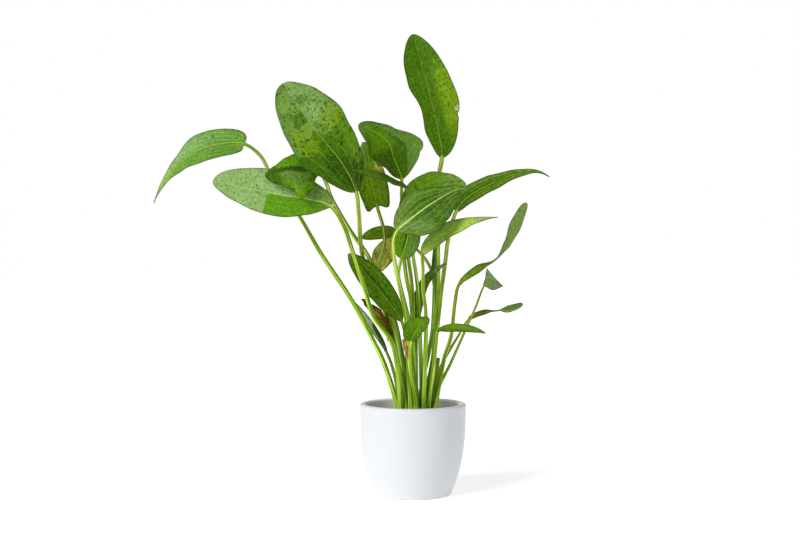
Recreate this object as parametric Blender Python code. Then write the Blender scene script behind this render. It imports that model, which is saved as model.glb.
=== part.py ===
# Potted echinodorus: an emersed sword plant with broad leaves on long stalks,
# growing from one crown in a small round glazed pot.
#
# Run it with: blender --background --python part.py
# Frame: origin at the middle of the pot's flat bottom, +Z up, the front towards -Y.
# Sizes below are in millimetres and are turned into metres when an object is made.

import math

import bpy
import numpy as np

MM = 0.001  # metres in one millimetre
GAP = 0.3  # clearance between pieces that rest on each other

# Pot
POT_HEIGHT = 64.0
POT_RIM_RADIUS = 37.5
POT_BASE_RADIUS = 26.7
POT_BELLY_POWER = 2.8  # how late the side turns in towards the bottom
POT_WALL = 4.0
POT_FLOOR = 4.5
POT_LIP_ROUNDING = 1.6
POT_FOOT_ROUNDING = 2.0
POT_STEPS = 32

# Growing medium and crown
SOIL_TOP = 49.0
SOIL_CROWNING = 1.2  # how much higher the soil stands in the middle
SOIL_STEPS = 28
CROWN_CENTER = (3.0, 0.0)
CROWN_RADIUS = 17.0
CROWN_HEIGHT = 4.0
CROWN_STEPS = 20

# Stalks and blades
RING_SPACING = 4.3  # from one ring of stalk feet to the next
STALK_RINGS = 10  # cross sections along one stalk
BLADE_THICKNESS = 0.8
BLADE_ROWS = 10
BLADE_COLUMNS = 5
NECK_HALF_WIDTH = 1.2  # where the blade meets its stalk
TIP_HALF_WIDTH = 0.35
NECK_GAP = 0.6  # between a stalk's end and its blade
FOOT_GAP = 0.8  # between the crown and a stalk, so that a leaning foot is clear too

EYE = (-9.0, -850.0, 160.0)  # where the leaves are laid out from: leaning keeps their look

CROWN_TOP = SOIL_TOP + SOIL_CROWNING + GAP + CROWN_HEIGHT
FOOT_HEIGHT = CROWN_TOP + FOOT_GAP

# One entry for each leaf, in millimetres and degrees:
#   foot     ring on the crown and the compass angle in it, 0 to the right, 90 to the back
#   thick    diameter of the stalk at the foot and at the blade
#   stalk    points that the stalk passes between its foot and the blade
#   midrib   points along the blade from its base to its tip
#   left     width of the left half, looking along the leaf at its upper side
#   right    width of the right half
#   ends     how the blade narrows to its base and to its tip: 0.5 round, 1 pointed
#   face     where the upper side looks
#   fold     how far each half is raised from flat
#   curl     how far the left and the right half bend on from there to the margin
#   lobe     how far the margin sweeps back beside the stalk
#   lean     how much further back the tip is than the points say, along the line of sight
# A list of values runs from the blade's base to its tip in even steps.
LEAVES = {
    "top": dict(
        foot=(2, 60), thick=(4.0, 3.2),
        stalk=[(15, 11, 96), (17, 12, 123), (18, 12, 149), (18, 12, 195), (19, 12, 226)],
        midrib=[(21, 12, 239), (17, 14, 264), (10.5, 16, 291), (0, 20, 329)],
        left=[11, 11, 9, 14.5, 17, 17], right=[17, 18, 20, 18.7, 18, 17], ends=(0.5, 0.6),
        face=[(0.1, -1, 0), (0, -1, 0)], fold=8, curl=(5, 5), lean=22,
    ),
    "upper_left": dict(
        foot=(1, 150), thick=(3.8, 2.8),
        stalk=[(-9, 0, 105), (-14, -1, 125), (-26, -2, 144), (-35, -12, 166.5), (-37.5, -24, 198)],
        midrib=[(-39, -32, 211.5), (-48, -36, 230), (-64, -36, 250), (-77, -33, 267.5),
                (-89.5, -28, 286)],
        left=[18, 20.5, 23, 20.5, 19.4, 19], right=[11, 18, 20.7, 23.5, 22, 17.5], ends=(0.5, 0.5),
        face=[(0.1, -1, 0), (0, -1, 0.1)], fold=6, curl=(4, 4),
    ),
    "far_left": dict(
        foot=(3, 180), thick=(3.8, 2.4),
        stalk=[(-20, 1, 91), (-29, 2, 110), (-43, 3, 136), (-66, 5, 171), (-80, 6, 195),
               (-102, 6, 228), (-109, 6, 240)],
        midrib=[(-120, 5, 248), (-134, 4, 248.5), (-148.5, 3, 245), (-160.7, 3, 238),
                (-171.3, 4, 228), (-178.5, 5, 218.5), (-185.2, 8, 206)],
        left=[13, 14.6, 14, 9.8, 5.5, 3], right=[13, 12, 12, 7.5, 5.2, 3], ends=(0.45, 1),
        face=[(-0.1, -0.85, 0.5), (-0.4, -0.85, 0.3)], fold=8, curl=(8, 8), lobe=15, lean=18,
    ),
    "mid_left": dict(
        foot=(3, 205), thick=(3.8, 2.6),
        stalk=[(-11, -15, 92), (-15, -20, 109), (-27, -25, 126), (-33, -26, 144), (-41, -26, 169),
               (-48, -26, 189)],
        midrib=[(-57, -25, 202), (-71, -26, 206.5), (-92, -28, 210), (-137, -30, 219)],
        left=[13, 16.5, 18, 17, 14.5, 12], right=[18, 17.2, 18, 16.6, 16, 16], ends=(0.5, 0.5),
        face=[(0, -0.93, 0.36), (0, -0.93, 0.36)], fold=6, curl=(6, 6),
    ),
    "folded": dict(
        foot=(2, 180), thick=(3.6, 2.6),
        stalk=[(-13, -5, 105), (-19, -6, 127), (-30, -6, 165), (-44, -12, 186), (-56, -19, 207)],
        midrib=[(-63.5, -25, 224.5), (-78, -31, 229), (-91, -32, 227), (-101, -32, 222)],
        left=[5, 17, 24.5, 16.5, 14, 14], right=[10, 11.5, 12, 9, 5.5, 4], ends=(0.35, 0.4),
        face=[(0, -0.8, 0.6), (0, -0.8, 0.6)], fold=0, curl=(-50, 0), lobe=34,
    ),
    "cupped": dict(
        foot=(0, 0), thick=(3.4, 2.4),
        stalk=[(-1.5, 0, 138), (-4, 1, 150), (-6, 2, 165), (-7, 3, 197), (-8, 3, 211)],
        midrib=[(-8, 3, 223), (-13, 1, 236), (-18.5, -2, 249.5), (-38.5, -5, 260)],
        left=[12, 10.5, 17, 18, 13, 10], right=[15, 24, 26, 11.5, 9, 9], ends=(0.5, 0.5),
        face=[(0.25, -1, 0.1), (0.1, -1, 0.1)], fold=8, curl=(6, 55), lean=5,
    ),
    "inner_left": dict(
        foot=(2, 150), thick=(3.6, 2.4),
        stalk=[(-12, 5, 110), (-21, 6, 137), (-24, 7, 160), (-20, 8, 182)],
        midrib=[(-25.5, 9, 204), (-30, 10, 223), (-33, 12, 243), (-36, 13, 250)],
        left=[14, 11, 11, 10, 10, 9], right=[14, 12.5, 11.5, 10.5, 9.5, 9], ends=(0.45, 0.6),
        face=[(0, -1, 0), (0, -1, 0)], fold=8, curl=(6, 6), lobe=20, lean=14,
    ),
    "edge_on": dict(
        foot=(1, 330), thick=(3.4, 2.2),
        stalk=[(3, -3, 149), (0, -3, 169), (-3, -2, 197)],
        midrib=[(-4.9, -3, 216.2), (-11.4, -12, 219), (-17.7, -21, 221.2), (-25.9, -32, 223.2),
                (-33.9, -40, 224.2), (-41.5, -46, 225.6)],
        left=[3, 6.4, 7.6, 6.4, 5], right=[3, 4.2, 4.2, 4.2, 4.2], ends=(0.4, 0.6),
        face=[(0.2, -1, 0.9), (0.2, -1, 0.9)], fold=6, curl=(6, 6),
    ),
    "front_center": dict(
        foot=(2, 270), thick=(3.8, 2.6),
        stalk=[(1.2, -10.4, 70), (-2, -14, 90), (-3, -17, 105), (-5, -20, 127), (-10, -25, 150),
               (-13.5, -28, 170), (-13.5, -29, 179)],
        midrib=[(-11, -29, 185), (3, -29, 197), (16, -28, 206), (29, -27, 213), (36, -25, 214)],
        left=[14, 14.6, 15, 10.7, 6, 4], right=[14, 18.5, 19.5, 16.5, 13, 10], ends=(0.5, 0.5),
        face=[(-0.1, -1, 0.2), (0, -1, 0.2)], fold=6, curl=(6, 6), lean=-8,
    ),
    "behind_center": dict(
        foot=(1, 210), thick=(3.4, 2.4),
        stalk=[(0, -6, 137), (-1, -7, 150), (-3, -8.5, 165), (-5, -9.5, 180)],
        midrib=[(-6, -10, 191), (5, -13, 205), (19, -16, 214), (37, -18, 216.5)],
        left=[13, 14.5, 16, 15, 12, 9], right=12, ends=(0.5, 0.5),
        face=[(-0.2, -1, 0.2), (0, -1, 0.2)], fold=8, curl=(6, 6),
    ),
    "far_right": dict(
        foot=(2, 30), thick=(3.8, 2.6),
        stalk=[(18, 2, 123), (20, 1, 141), (23, 0, 164), (25, 0, 179)],
        midrib=[(31, 3, 200), (39, 6, 210), (61, 10, 222), (76, 12, 227.5), (89, 13, 229),
                (98.5, 14, 225)],
        left=[8, 7.8, 7.2, 6, 5.2, 5], right=[6.8, 6.9, 6.6, 6.1, 6, 6], ends=(0.5, 1.1),
        face=[(0, -0.85, 0.5), (0, -0.85, 0.5)], fold=8, curl=(6, 6), lean=22,
    ),
    "mid_right": dict(
        foot=(2, 300), thick=(3.6, 2.2),
        stalk=[(9, -12, 127), (7, -12, 146), (7, -12, 159)],
        midrib=[(7, -13, 169.5), (16, -15, 179), (26, -17, 186), (38, -20, 191), (48, -23, 193.5),
                (58, -25, 194.5)],
        left=[6, 6.6, 6.9, 6, 4.5, 3], right=[5, 5.4, 6.2, 7, 6, 5], ends=(0.45, 1.1),
        face=[(-0.2, -0.85, 0.5), (0, -0.85, 0.5)], fold=8, curl=(6, 6), lean=-18,
    ),
    "twisted": dict(
        foot=(3, 340), thick=(3.6, 2.4),
        stalk=[(18, -3.6, 74), (22.5, -3, 97), (27, -1.5, 111), (30, 0, 136)],
        midrib=[(33, 1, 148), (46, 2, 158), (57, 3, 164), (66, 3, 173), (73, 4, 187), (81, 5, 206)],
        left=[4.6, 5.2, 3, 4.6, 5.2, 5.4], right=[4.6, 5.2, 3, 4.8, 6.6, 6.8], ends=(0.5, 0.4),
        face=[(-0.45, -0.8, 0.6), (-0.45, -0.7, 0.6), (-0.5, 0, 0.85), (-0.55, 0.6, 0.5),
              (-0.5, 0.85, 0.2), (-0.5, 0.85, 0.2)],
        fold=10, curl=(8, 8), lean=-14,
    ),
    "fan": dict(
        foot=(3, 0), thick=(2.8, 1.5),
        stalk=[(17.5, 1, 72), (26.5, 2, 91), (35, 3, 110), (45, 6, 132)],
        midrib=[(51.2, 9, 146.8), (54.8, 10, 149.8), (58.4, 11, 153)],
        left=[5.8, 8.4], right=[11.8, 9.6], ends=(0.5, 0),
        face=[(0.3, -1, 0), (0.1, -1, 0.1)], fold=4, curl=(16, 16), lean=8,
    ),
    "low_right": dict(
        foot=(3, 22), thick=(3.0, 1.7),
        stalk=[(20, 8, 88), (25, 10.5, 98), (33, 12.5, 111)],
        midrib=[(40.5, 12.5, 122.8), (51, 11, 127.5), (60, 10, 128.8), (70, 10.5, 130), (79, 12, 133.5)],
        left=[3.2, 3.2, 2.7, 3.6, 4, 4], right=[3.4, 3.4, 2.7, 3.6, 4, 4], ends=(0.4, 0.3),
        face=[(-0.2, -0.9, 0.6), (-0.2, -0.6, 0.7), (-0.2, 0, 1), (-0.2, 0.75, 0.6),
              (-0.2, 0.8, 0.6)],
        fold=8, curl=(6, 6), lean=14,
    ),
    "low_front_right": dict(
        foot=(2, 330), thick=(3.4, 2.0),
        stalk=[(14.5, -8, 88), (16.5, -10, 108)],
        midrib=[(17.5, -10, 115.5), (25, -13, 117.5), (34, -16, 117.3), (42.5, -19, 116.3),
                (50, -22, 114.5)],
        left=4.5, right=5.2, ends=(0.6, 0.8),
        face=[(0, -0.65, 0.75), (0.2, -0.65, 0.75)], fold=8, curl=(6, 6), lean=-18,
    ),
    "hanging": dict(
        foot=(2, 240), thick=(3.4, 2.2),
        stalk=[(-4, -8, 95), (-5.5, -9, 115.5)],
        midrib=[(-8, -9, 122.5), (-22.5, -13, 143), (-45, -18, 169.5)],
        left=9.3, right=9.4, ends=(0.65, 0.65),
        face=[(0.2, -1, 0.2), (0.2, -1, 0.2)], fold=8, curl=(6, 6), lean=-3,
    ),
    "dry_rolled": dict(
        foot=(2, 210), thick=(3.2, 2.0),
        stalk=[(-9, -7.5, 88)],
        midrib=[(-15, -10, 106), (-23, -12, 122), (-36, -14, 138)],
        left=6.5, right=6.5, ends=(0.5, 0.6),
        face=[(0.6, -1, 0.4), (0.4, -1, 0.2)], fold=25, curl=(60, 70),
    ),
    "low_left": dict(
        foot=(3, 155), thick=(3.2, 2.0),
        stalk=[(-13, 6, 83)],
        midrib=[(-19, 8, 100), (-31, 9, 119), (-44, 10, 137)],
        left=3.8, right=3.8, ends=(0.7, 0.8),
        face=[(0.8, -0.8, 0.4), (0.8, -0.8, 0.4)], fold=10, curl=(8, 8), lean=12,
    ),
    "low_front": dict(
        foot=(3, 265), thick=(3.2, 2.0),
        stalk=[(2.2, -14.5, 67), (0.3, -17.5, 78), (-2, -22, 96)],
        midrib=[(-1.5, -23, 109), (2.5, -24, 117), (11, -24, 125)],
        left=[8, 8.5, 9, 8, 6, 5], right=[4, 4, 4, 4.5, 5, 5], ends=(0.45, 0.5),
        face=[(0, -1, 0.2), (0, -1, 0.2)], fold=8, curl=(6, 6), lobe=6, lean=-12,
    ),
    "yellowing": dict(
        foot=(2, 120), thick=(3.2, 1.8),
        stalk=[(-6, 12, 115), (-15, 14, 137), (-21, 17, 147)],
        midrib=[(-24, 18, 157), (-19, 20, 170), (-10.5, 22, 182)],
        left=[9, 9.5, 9.5, 9, 8, 7], right=[6, 6.5, 7, 7, 6, 5], ends=(0.5, 0.6),
        face=[(0, -1, 0.1), (0, -1, 0.1)], fold=10, curl=(10, 10), lean=14,
    ),
    "dark_back": dict(
        foot=(1, 30), thick=(3.2, 2.0),
        stalk=[(8, 6, 82), (14, 8, 115), (15, 9, 151), (11, 11, 163), (2, 14, 174)],
        midrib=[(-11, 17, 185), (-24, 16.5, 184.5), (-31, 16, 183), (-37, 15.5, 181)],
        left=6.5, right=6, ends=(0.6, 0.7),
        face=[(0, -0.8, 0.6), (0, -0.8, 0.6)], fold=8, curl=(6, 6), lean=6,
    ),
    "under_center": dict(
        foot=(1, 270), thick=(3.2, 2.2),
        stalk=[(1.5, -9, 90), (-1, -12, 115), (-6, -14, 137), (-10, -15, 155)],
        midrib=[(-8, -14, 166), (-4.5, -15.5, 178), (-1, -18, 196)],
        left=8.5, right=9, ends=(0.5, 0.6),
        face=[(0, -1, 0), (0, -1, 0)], fold=8, curl=(6, 6), lean=-4,
    ),
    "narrow_inner": dict(
        foot=(1, 90), thick=(3.0, 2.0),
        stalk=[(2.5, 5, 105)],
        midrib=[(3, 6.5, 123), (4, 7, 137), (9.5, 7, 151), (24, 5, 163)],
        left=4, right=4, ends=(0.5, 0.9),
        face=[(0.2, -1, 0), (0.2, -1, 0.2)], fold=8, curl=(6, 6), lean=-3,
    ),
    "narrow_back": dict(
        foot=(2, 90), thick=(3.2, 2.0),
        stalk=[(13.5, 16, 108), (15, 18, 129)],
        midrib=[(15.6, 20, 147), (16.5, 20, 164), (17, 21, 181)],
        left=2.8, right=2.6, ends=(0.6, 0.8),
        face=[(0.2, -1, 0), (0.2, -1, 0)], fold=8, curl=(6, 6), lean=8,
    ),
}

# The stalk of a leaf that was cut away
CUT_STALK = dict(
    foot=(2, 0), thick=(3.6, 3.2),
    stalk=[(13, -1.2, 67), (15.6, -1.7, 81), (17.8, -2, 96)],
)

# Colours (linear red, green, blue) and roughness
FINISHES = {
    "glazed_ceramic": ((0.80, 0.82, 0.84), 0.25),
    "growing_medium": ((0.035, 0.025, 0.018), 0.95),
    "crown_skin": ((0.22, 0.25, 0.06), 0.7),
    "stalk_green": ((0.24, 0.38, 0.05), 0.5),
    "leaf_green": ((0.08, 0.24, 0.02), 0.45),
    "leaf_dark": ((0.03, 0.12, 0.02), 0.45),
    "leaf_yellow": ((0.38, 0.26, 0.04), 0.6),
    "leaf_dry": ((0.14, 0.06, 0.02), 0.8),
}
BLADE_FINISH = {
    "edge_on": "leaf_dark",
    "hanging": "leaf_dark",
    "dark_back": "leaf_dark",
    "low_left": "leaf_dark",
    "narrow_back": "leaf_dark",
    "yellowing": "leaf_yellow",
    "dry_rolled": "leaf_dry",
}


def clear_scene():
    """Remove every object that the scene starts with."""
    for thing in list(bpy.data.objects):
        bpy.data.objects.remove(thing, do_unlink=True)


def make_material(name):
    """A Principled material of one colour."""
    color, roughness = FINISHES[name]
    material = bpy.data.materials.new(name)
    material.use_nodes = True
    shader = material.node_tree.nodes["Principled BSDF"]
    shader.inputs["Base Color"].default_value = (*color, 1.0)
    shader.inputs["Roughness"].default_value = roughness
    shader.inputs["Metallic"].default_value = 0.0
    return material


def add_object(name, data, material, parent=None, location=(0, 0, 0)):
    """Link an object to the scene, at a place in millimetres under its parent."""
    thing = bpy.data.objects.new(name, data)
    bpy.context.scene.collection.objects.link(thing)
    data.materials.append(material)
    thing.parent = parent
    thing.location = [value * MM for value in location]
    return thing


def hermite(points, slopes, knots, values):
    """The cubic curve through the points with the given slopes, read at the values."""
    index = np.clip(np.searchsorted(knots, values, side="right") - 1, 0, len(knots) - 2)
    step = (knots[index + 1] - knots[index])[:, None]
    along = (values - knots[index])[:, None] / step
    back = 1 - along
    near = (1 + 2 * along) * back ** 2 * points[index] + along * back ** 2 * step * slopes[index]
    far = (1 + 2 * back) * along ** 2 * points[index + 1]
    return near + far - back * along ** 2 * step * slopes[index + 1]


def leaning(points, lean):
    """Points moved back along the lines of sight, with the square of their share of the way."""
    steps = np.linalg.norm(np.diff(points, axis=0), axis=1)
    share = np.concatenate([[0.0], np.cumsum(steps)]) / steps.sum()
    sight = points - EYE
    return points + sight * (lean * share ** 2 / sight[:, 1])[:, None]


def leaf_path(leaf):
    """Fine points of a leaf's centre line: its stalk, and its midrib if it has a blade."""
    ring, angle = leaf["foot"]
    reach = ring * RING_SPACING
    foot = (
        CROWN_CENTER[0] + reach * math.cos(math.radians(angle)),
        CROWN_CENTER[1] + reach * math.sin(math.radians(angle)),
        FOOT_HEIGHT,
    )
    root = (foot[0], foot[1], foot[2] - 15)  # makes the stalk leave the crown upright
    points = np.array([root, foot, *leaf["stalk"], *leaf.get("midrib", [])], dtype=float)
    points = leaning(points, leaf.get("lean", 0))
    spans = np.sqrt(np.linalg.norm(np.diff(points, axis=0), axis=1))
    knots = np.concatenate([[0.0], np.cumsum(spans)])
    slopes = np.gradient(points, knots, axis=0, edge_order=2)
    base = 1 + len(leaf["stalk"]) + ("midrib" in leaf)
    stalk = hermite(points, slopes, knots, np.linspace(knots[1], knots[base], 200))
    midrib = hermite(points, slopes, knots, np.linspace(knots[base], knots[-1], 200))
    return stalk, midrib


def spread(points, shares):
    """Read a fine line of points at the given shares of its length."""
    steps = np.linalg.norm(np.diff(points, axis=0), axis=1)
    length = np.concatenate([[0.0], np.cumsum(steps)])
    return np.stack([np.interp(shares * length[-1], length, axis) for axis in points.T], axis=1)


def along_leaf(values, shares):
    """A value or vector along the blade, easing from each listed one to the next."""
    table = np.array(values, dtype=float)
    if table.ndim == 0:
        return np.full(len(shares), float(table))
    place = shares * (len(table) - 1)
    index = np.clip(place.astype(int), 0, len(table) - 2)
    part = place - index
    ease = part * part * (3 - 2 * part)
    if table.ndim == 2:
        ease = ease[:, None]
    return table[index] * (1 - ease) + table[index + 1] * ease


def unit(vectors):
    """Vectors of length one."""
    return vectors / np.linalg.norm(vectors, axis=-1, keepdims=True)


def half_widths(leaf, side, shares):
    """Width of one half of the blade along it: u^p (1-u)^q, scaled by the values of that half."""
    to_base, to_tip = leaf["ends"]
    widest = to_base / (to_base + to_tip)
    shape = shares ** to_base * (1 - shares) ** to_tip
    shape = shape / (widest ** to_base * (1 - widest) ** to_tip)
    least = NECK_HALF_WIDTH + (TIP_HALF_WIDTH - NECK_HALF_WIDTH) * shares
    return np.sqrt((along_leaf(leaf[side], shares) * shape) ** 2 + least ** 2)


def blade_surface(leaf, rows, columns):
    """Grid of points on the blade: rows from base to tip, columns from left to right margin."""
    shares = (1 - np.cos(np.linspace(0, math.pi, rows))) / 2
    center = spread(leaf_path(leaf)[1], shares)
    tangent = unit(np.gradient(center, axis=0))
    across = unit(np.cross(tangent, along_leaf(leaf["face"], shares)))
    upward = np.cross(across, tangent)
    side = np.linspace(-1, 1, columns)[None, :]
    reach = np.abs(side)
    left = half_widths(leaf, "left", shares)[:, None]
    right = half_widths(leaf, "right", shares)[:, None]
    half = np.where(side < 0, left, right)
    bend = np.radians(np.where(side < 0, leaf["curl"][0], leaf["curl"][1]) + 0.01)
    first = math.radians(leaf["fold"])
    last = first + bend * reach
    sideways = half / bend * (np.sin(last) - np.sin(first)) * np.sign(side)
    raised = half / bend * (np.cos(first) - np.cos(last))
    swept = leaf.get("lobe", 0) * (reach * half / half.max()) ** 2 * (1 - shares[:, None]) ** 6
    middle = center[:, None] - swept[..., None] * tangent[:, None]
    return middle + sideways[..., None] * across[:, None] + raised[..., None] * upward[:, None]


def make_blade(name, leaf, material, parent, foot):
    """A thin closed blade: the grid of its surface, given its thickness by Solidify."""
    grid = blade_surface(leaf, BLADE_ROWS, BLADE_COLUMNS)
    start = grid[0, BLADE_COLUMNS // 2]
    mesh = bpy.data.meshes.new(name)
    points = ((grid - start) * MM).reshape(-1, 3)
    faces = []
    for row in range(BLADE_ROWS - 1):
        for column in range(BLADE_COLUMNS - 1):
            first = row * BLADE_COLUMNS + column
            faces.append((first, first + 1, first + 1 + BLADE_COLUMNS, first + BLADE_COLUMNS))
    mesh.from_pydata(points.tolist(), [], faces)
    mesh.shade_smooth()
    blade = add_object(name, mesh, material, parent, start - foot)
    wall = blade.modifiers.new("thickness", "SOLIDIFY")
    wall.thickness = BLADE_THICKNESS * MM
    wall.offset = 0
    return blade


def make_stalk(name, leaf, material, parent, parent_place):
    """A tapering round stalk from the crown to just short of its blade."""
    line = leaf_path(leaf)[0]
    length = np.linalg.norm(np.diff(line, axis=0), axis=1).sum()
    end = 1 - NECK_GAP / length if "midrib" in leaf else 1
    shares = np.linspace(0, end, STALK_RINGS)
    centers = spread(line, shares)
    foot = centers[0]
    curve = bpy.data.curves.new(name, "CURVE")
    curve.dimensions = "3D"
    curve.bevel_depth = MM / 2  # each point's radius is then a diameter in millimetres
    curve.bevel_resolution = 1
    curve.use_fill_caps = True
    spline = curve.splines.new("POLY")
    spline.points.add(STALK_RINGS - 1)
    for point, center, share in zip(spline.points, centers, shares):
        point.co = (*((center - foot) * MM), 1)
        point.radius = leaf["thick"][0] + (leaf["thick"][1] - leaf["thick"][0]) * share
    return add_object(name, curve, material, parent, foot - parent_place), foot


def turned_object(name, profile, steps, material, parent=None, location=(0, 0, 0)):
    """A round piece turned from a profile of (radius, height) points, outer side downwards."""
    mesh = bpy.data.meshes.new(name)
    points = [(radius * MM, 0, height * MM) for radius, height in profile]
    mesh.from_pydata(points, [(index, index + 1) for index in range(len(points) - 1)], [])
    piece = add_object(name, mesh, material, parent, location)
    turn = piece.modifiers.new("turn", "SCREW")
    turn.steps = steps
    turn.render_steps = steps
    turn.use_merge_vertices = True
    turn.merge_threshold = 0.00001
    turn.use_smooth_shade = True
    return piece


def pot_radius(height):
    """Outer radius of the pot: nearly straight at the rim, turning in towards the bottom."""
    share = (POT_HEIGHT - height) / POT_HEIGHT
    return POT_RIM_RADIUS - (POT_RIM_RADIUS - POT_BASE_RADIUS) * share ** POT_BELLY_POWER


def inner_radius(height):
    """Inner radius of the pot at a height above its floor."""
    return pot_radius(height) - POT_WALL


def arc(center, radius, start, end, count):
    """Points on an arc of a profile, angles in degrees from outwards, turning upwards."""
    angles = np.radians(np.linspace(start, end, count))
    return [(center[0] + radius * math.cos(a), center[1] + radius * math.sin(a)) for a in angles]


def make_pot(material):
    """The pot, open at the top, with a rounded lip and a flat bottom."""
    lip = POT_LIP_ROUNDING
    foot = POT_FOOT_ROUNDING
    inner_heights = np.linspace(POT_FLOOR + 2 * foot, POT_HEIGHT - lip, 5)
    outer_heights = np.linspace(POT_HEIGHT - lip, foot, 7)
    profile = [(0, POT_FLOOR)]
    corner = inner_radius(inner_heights[0]) - 2 * foot
    profile += arc((corner, POT_FLOOR + 2 * foot), 2 * foot, -90, 0, 4)
    profile += [(inner_radius(height), height) for height in inner_heights[1:]]
    profile += arc((inner_radius(POT_HEIGHT - lip) + lip, POT_HEIGHT - lip), lip, 150, 90, 3)
    profile += arc((pot_radius(POT_HEIGHT - lip) - lip, POT_HEIGHT - lip), lip, 90, 30, 3)
    profile += [(pot_radius(height), height) for height in outer_heights]
    profile += arc((pot_radius(foot) - foot, foot), foot, -30, -90, 3)
    profile += [(0, 0)]
    return turned_object("pot", profile, POT_STEPS, material)


def make_soil(material, pot):
    """The growing medium, filling the pot to a little under the rim."""
    clear = 1.0  # off the pot's wall, so that the facets of both stay apart
    bottom = POT_FLOOR + GAP
    heights = np.linspace(SOIL_TOP, POT_FLOOR + 2 * POT_FOOT_ROUNDING, 4)
    sides = [(inner_radius(height) - clear, height) for height in heights]
    profile = [(0, SOIL_TOP + SOIL_CROWNING), (sides[0][0] * 0.6, SOIL_TOP + 0.7 * SOIL_CROWNING)]
    profile += sides
    profile += [(sides[-1][0] - 2.5 * POT_FOOT_ROUNDING, bottom), (0, bottom)]
    return turned_object("soil", profile, SOIL_STEPS, material, pot)


def make_crown(material, soil):
    """The short flat rootstock that all the stalks grow from."""
    bottom = SOIL_TOP + SOIL_CROWNING + GAP
    shoulder = CROWN_HEIGHT * 0.4
    profile = [(0, CROWN_TOP - bottom), (CROWN_RADIUS - shoulder, CROWN_TOP - bottom)]
    profile += [(CROWN_RADIUS, CROWN_TOP - bottom - shoulder), (CROWN_RADIUS + shoulder, 0), (0, 0)]
    place = (CROWN_CENTER[0], CROWN_CENTER[1], bottom)
    return turned_object("crown", profile, CROWN_STEPS, material, soil, place), np.array(place)


def build():
    """Make the pot, what fills it, and every leaf."""
    clear_scene()
    finishes = {name: make_material(name) for name in FINISHES}
    pot = make_pot(finishes["glazed_ceramic"])
    soil = make_soil(finishes["growing_medium"], pot)
    crown, crown_place = make_crown(finishes["crown_skin"], soil)
    for name, leaf in LEAVES.items():
        stalk, foot = make_stalk(f"leaf_{name}_stalk", leaf, finishes["stalk_green"], crown, crown_place)
        finish = finishes[BLADE_FINISH.get(name, "leaf_green")]
        make_blade(f"leaf_{name}_blade", leaf, finish, stalk, foot)
    make_stalk("cut_stalk", CUT_STALK, finishes["stalk_green"], crown, crown_place)


build()
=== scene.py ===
import math

import bpy
import numpy as np
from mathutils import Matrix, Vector


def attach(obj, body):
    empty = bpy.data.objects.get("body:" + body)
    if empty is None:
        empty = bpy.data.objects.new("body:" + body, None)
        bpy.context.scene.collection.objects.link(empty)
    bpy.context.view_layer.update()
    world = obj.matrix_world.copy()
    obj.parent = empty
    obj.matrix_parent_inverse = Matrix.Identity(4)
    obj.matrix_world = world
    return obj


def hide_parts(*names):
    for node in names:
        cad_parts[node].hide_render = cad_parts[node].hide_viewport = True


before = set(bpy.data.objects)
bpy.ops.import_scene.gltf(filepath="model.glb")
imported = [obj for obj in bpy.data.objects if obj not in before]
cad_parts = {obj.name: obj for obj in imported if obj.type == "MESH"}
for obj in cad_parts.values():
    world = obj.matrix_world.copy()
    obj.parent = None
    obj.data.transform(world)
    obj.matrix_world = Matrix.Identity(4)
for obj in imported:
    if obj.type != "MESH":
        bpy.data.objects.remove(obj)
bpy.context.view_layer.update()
mm = 0.001
scene = bpy.context.scene


# Node helpers: a Term is one output of a node, and arithmetic with terms adds Math nodes

class Term:
    def __init__(self, tree, socket):
        self.tree, self.socket = tree, socket

    def __add__(self, other):
        return calc("ADD", self, other)

    def __sub__(self, other):
        return calc("SUBTRACT", self, other)

    def __rsub__(self, other):
        return calc("SUBTRACT", other, self)

    def __mul__(self, other):
        return calc("MULTIPLY", self, other)

    def __truediv__(self, other):
        return calc("DIVIDE", self, other)

    def __abs__(self):
        return calc("ABSOLUTE", self)


class Outputs:
    def __init__(self, tree, sockets):
        self.tree, self.sockets = tree, sockets

    def __getitem__(self, key):
        return Term(self.tree, self.sockets[key])


def feed(socket, value):
    if isinstance(value, Term):
        value.tree.links.new(value.socket, socket)
    else:
        socket.default_value = (*value, 1.0) if socket.type == "RGBA" else value


def put(kind, values=None, tree=None, **settings):
    # a node with its settings and inputs, in the tree of its terms; the result is its outputs
    values = values or {}
    if tree is None:
        tree = next(value.tree for value in values.values() if isinstance(value, Term))
    node = tree.nodes.new("ShaderNode" + kind)
    for name, value in settings.items():
        setattr(node, name, value)
    for key, value in values.items():
        feed(node.inputs[key], value)
    return Outputs(tree, node.outputs)


def calc(operation, *values):
    return put("Math", dict(enumerate(values)), operation=operation)[0]


def combine(operation, first, second):
    return put("VectorMath", {0: first, 1: second}, operation=operation)[0]


def join(*values):
    return put("CombineXYZ", dict(enumerate(values)))[0]


def split(vector):
    return put("SeparateXYZ", {0: vector})


def shift(vector, amount):
    # the pattern moved along its third axis, so that it differs from leaf to leaf
    return combine("ADD", vector, join(0.0, 0.0, amount))


def blend(share, first, second, mode="MIX"):
    return put("Mix", {0: share, 6: first, 7: second}, data_type="RGBA", blend_type=mode)[2]


def ease(value, low, high, start=0.0, end=1.0):
    # from start to end in an S curve while the value goes from low to high
    values = {"Value": value, "From Min": low, "From Max": high, "To Min": start, "To Max": end}
    return put("MapRange", values, interpolation_type="SMOOTHSTEP")[0]


def noise(where, scale, detail=3.0):
    return put("TexNoise", {"Vector": where, "Scale": scale, "Detail": detail})[0]


def cellsOf(where, scale, feature="F1"):
    return put("TexVoronoi", {"Vector": where, "Scale": scale}, feature=feature)


def attribute(tree, name, output="Vector"):
    return put("Attribute", tree=tree, attribute_name=name)[output]


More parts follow.
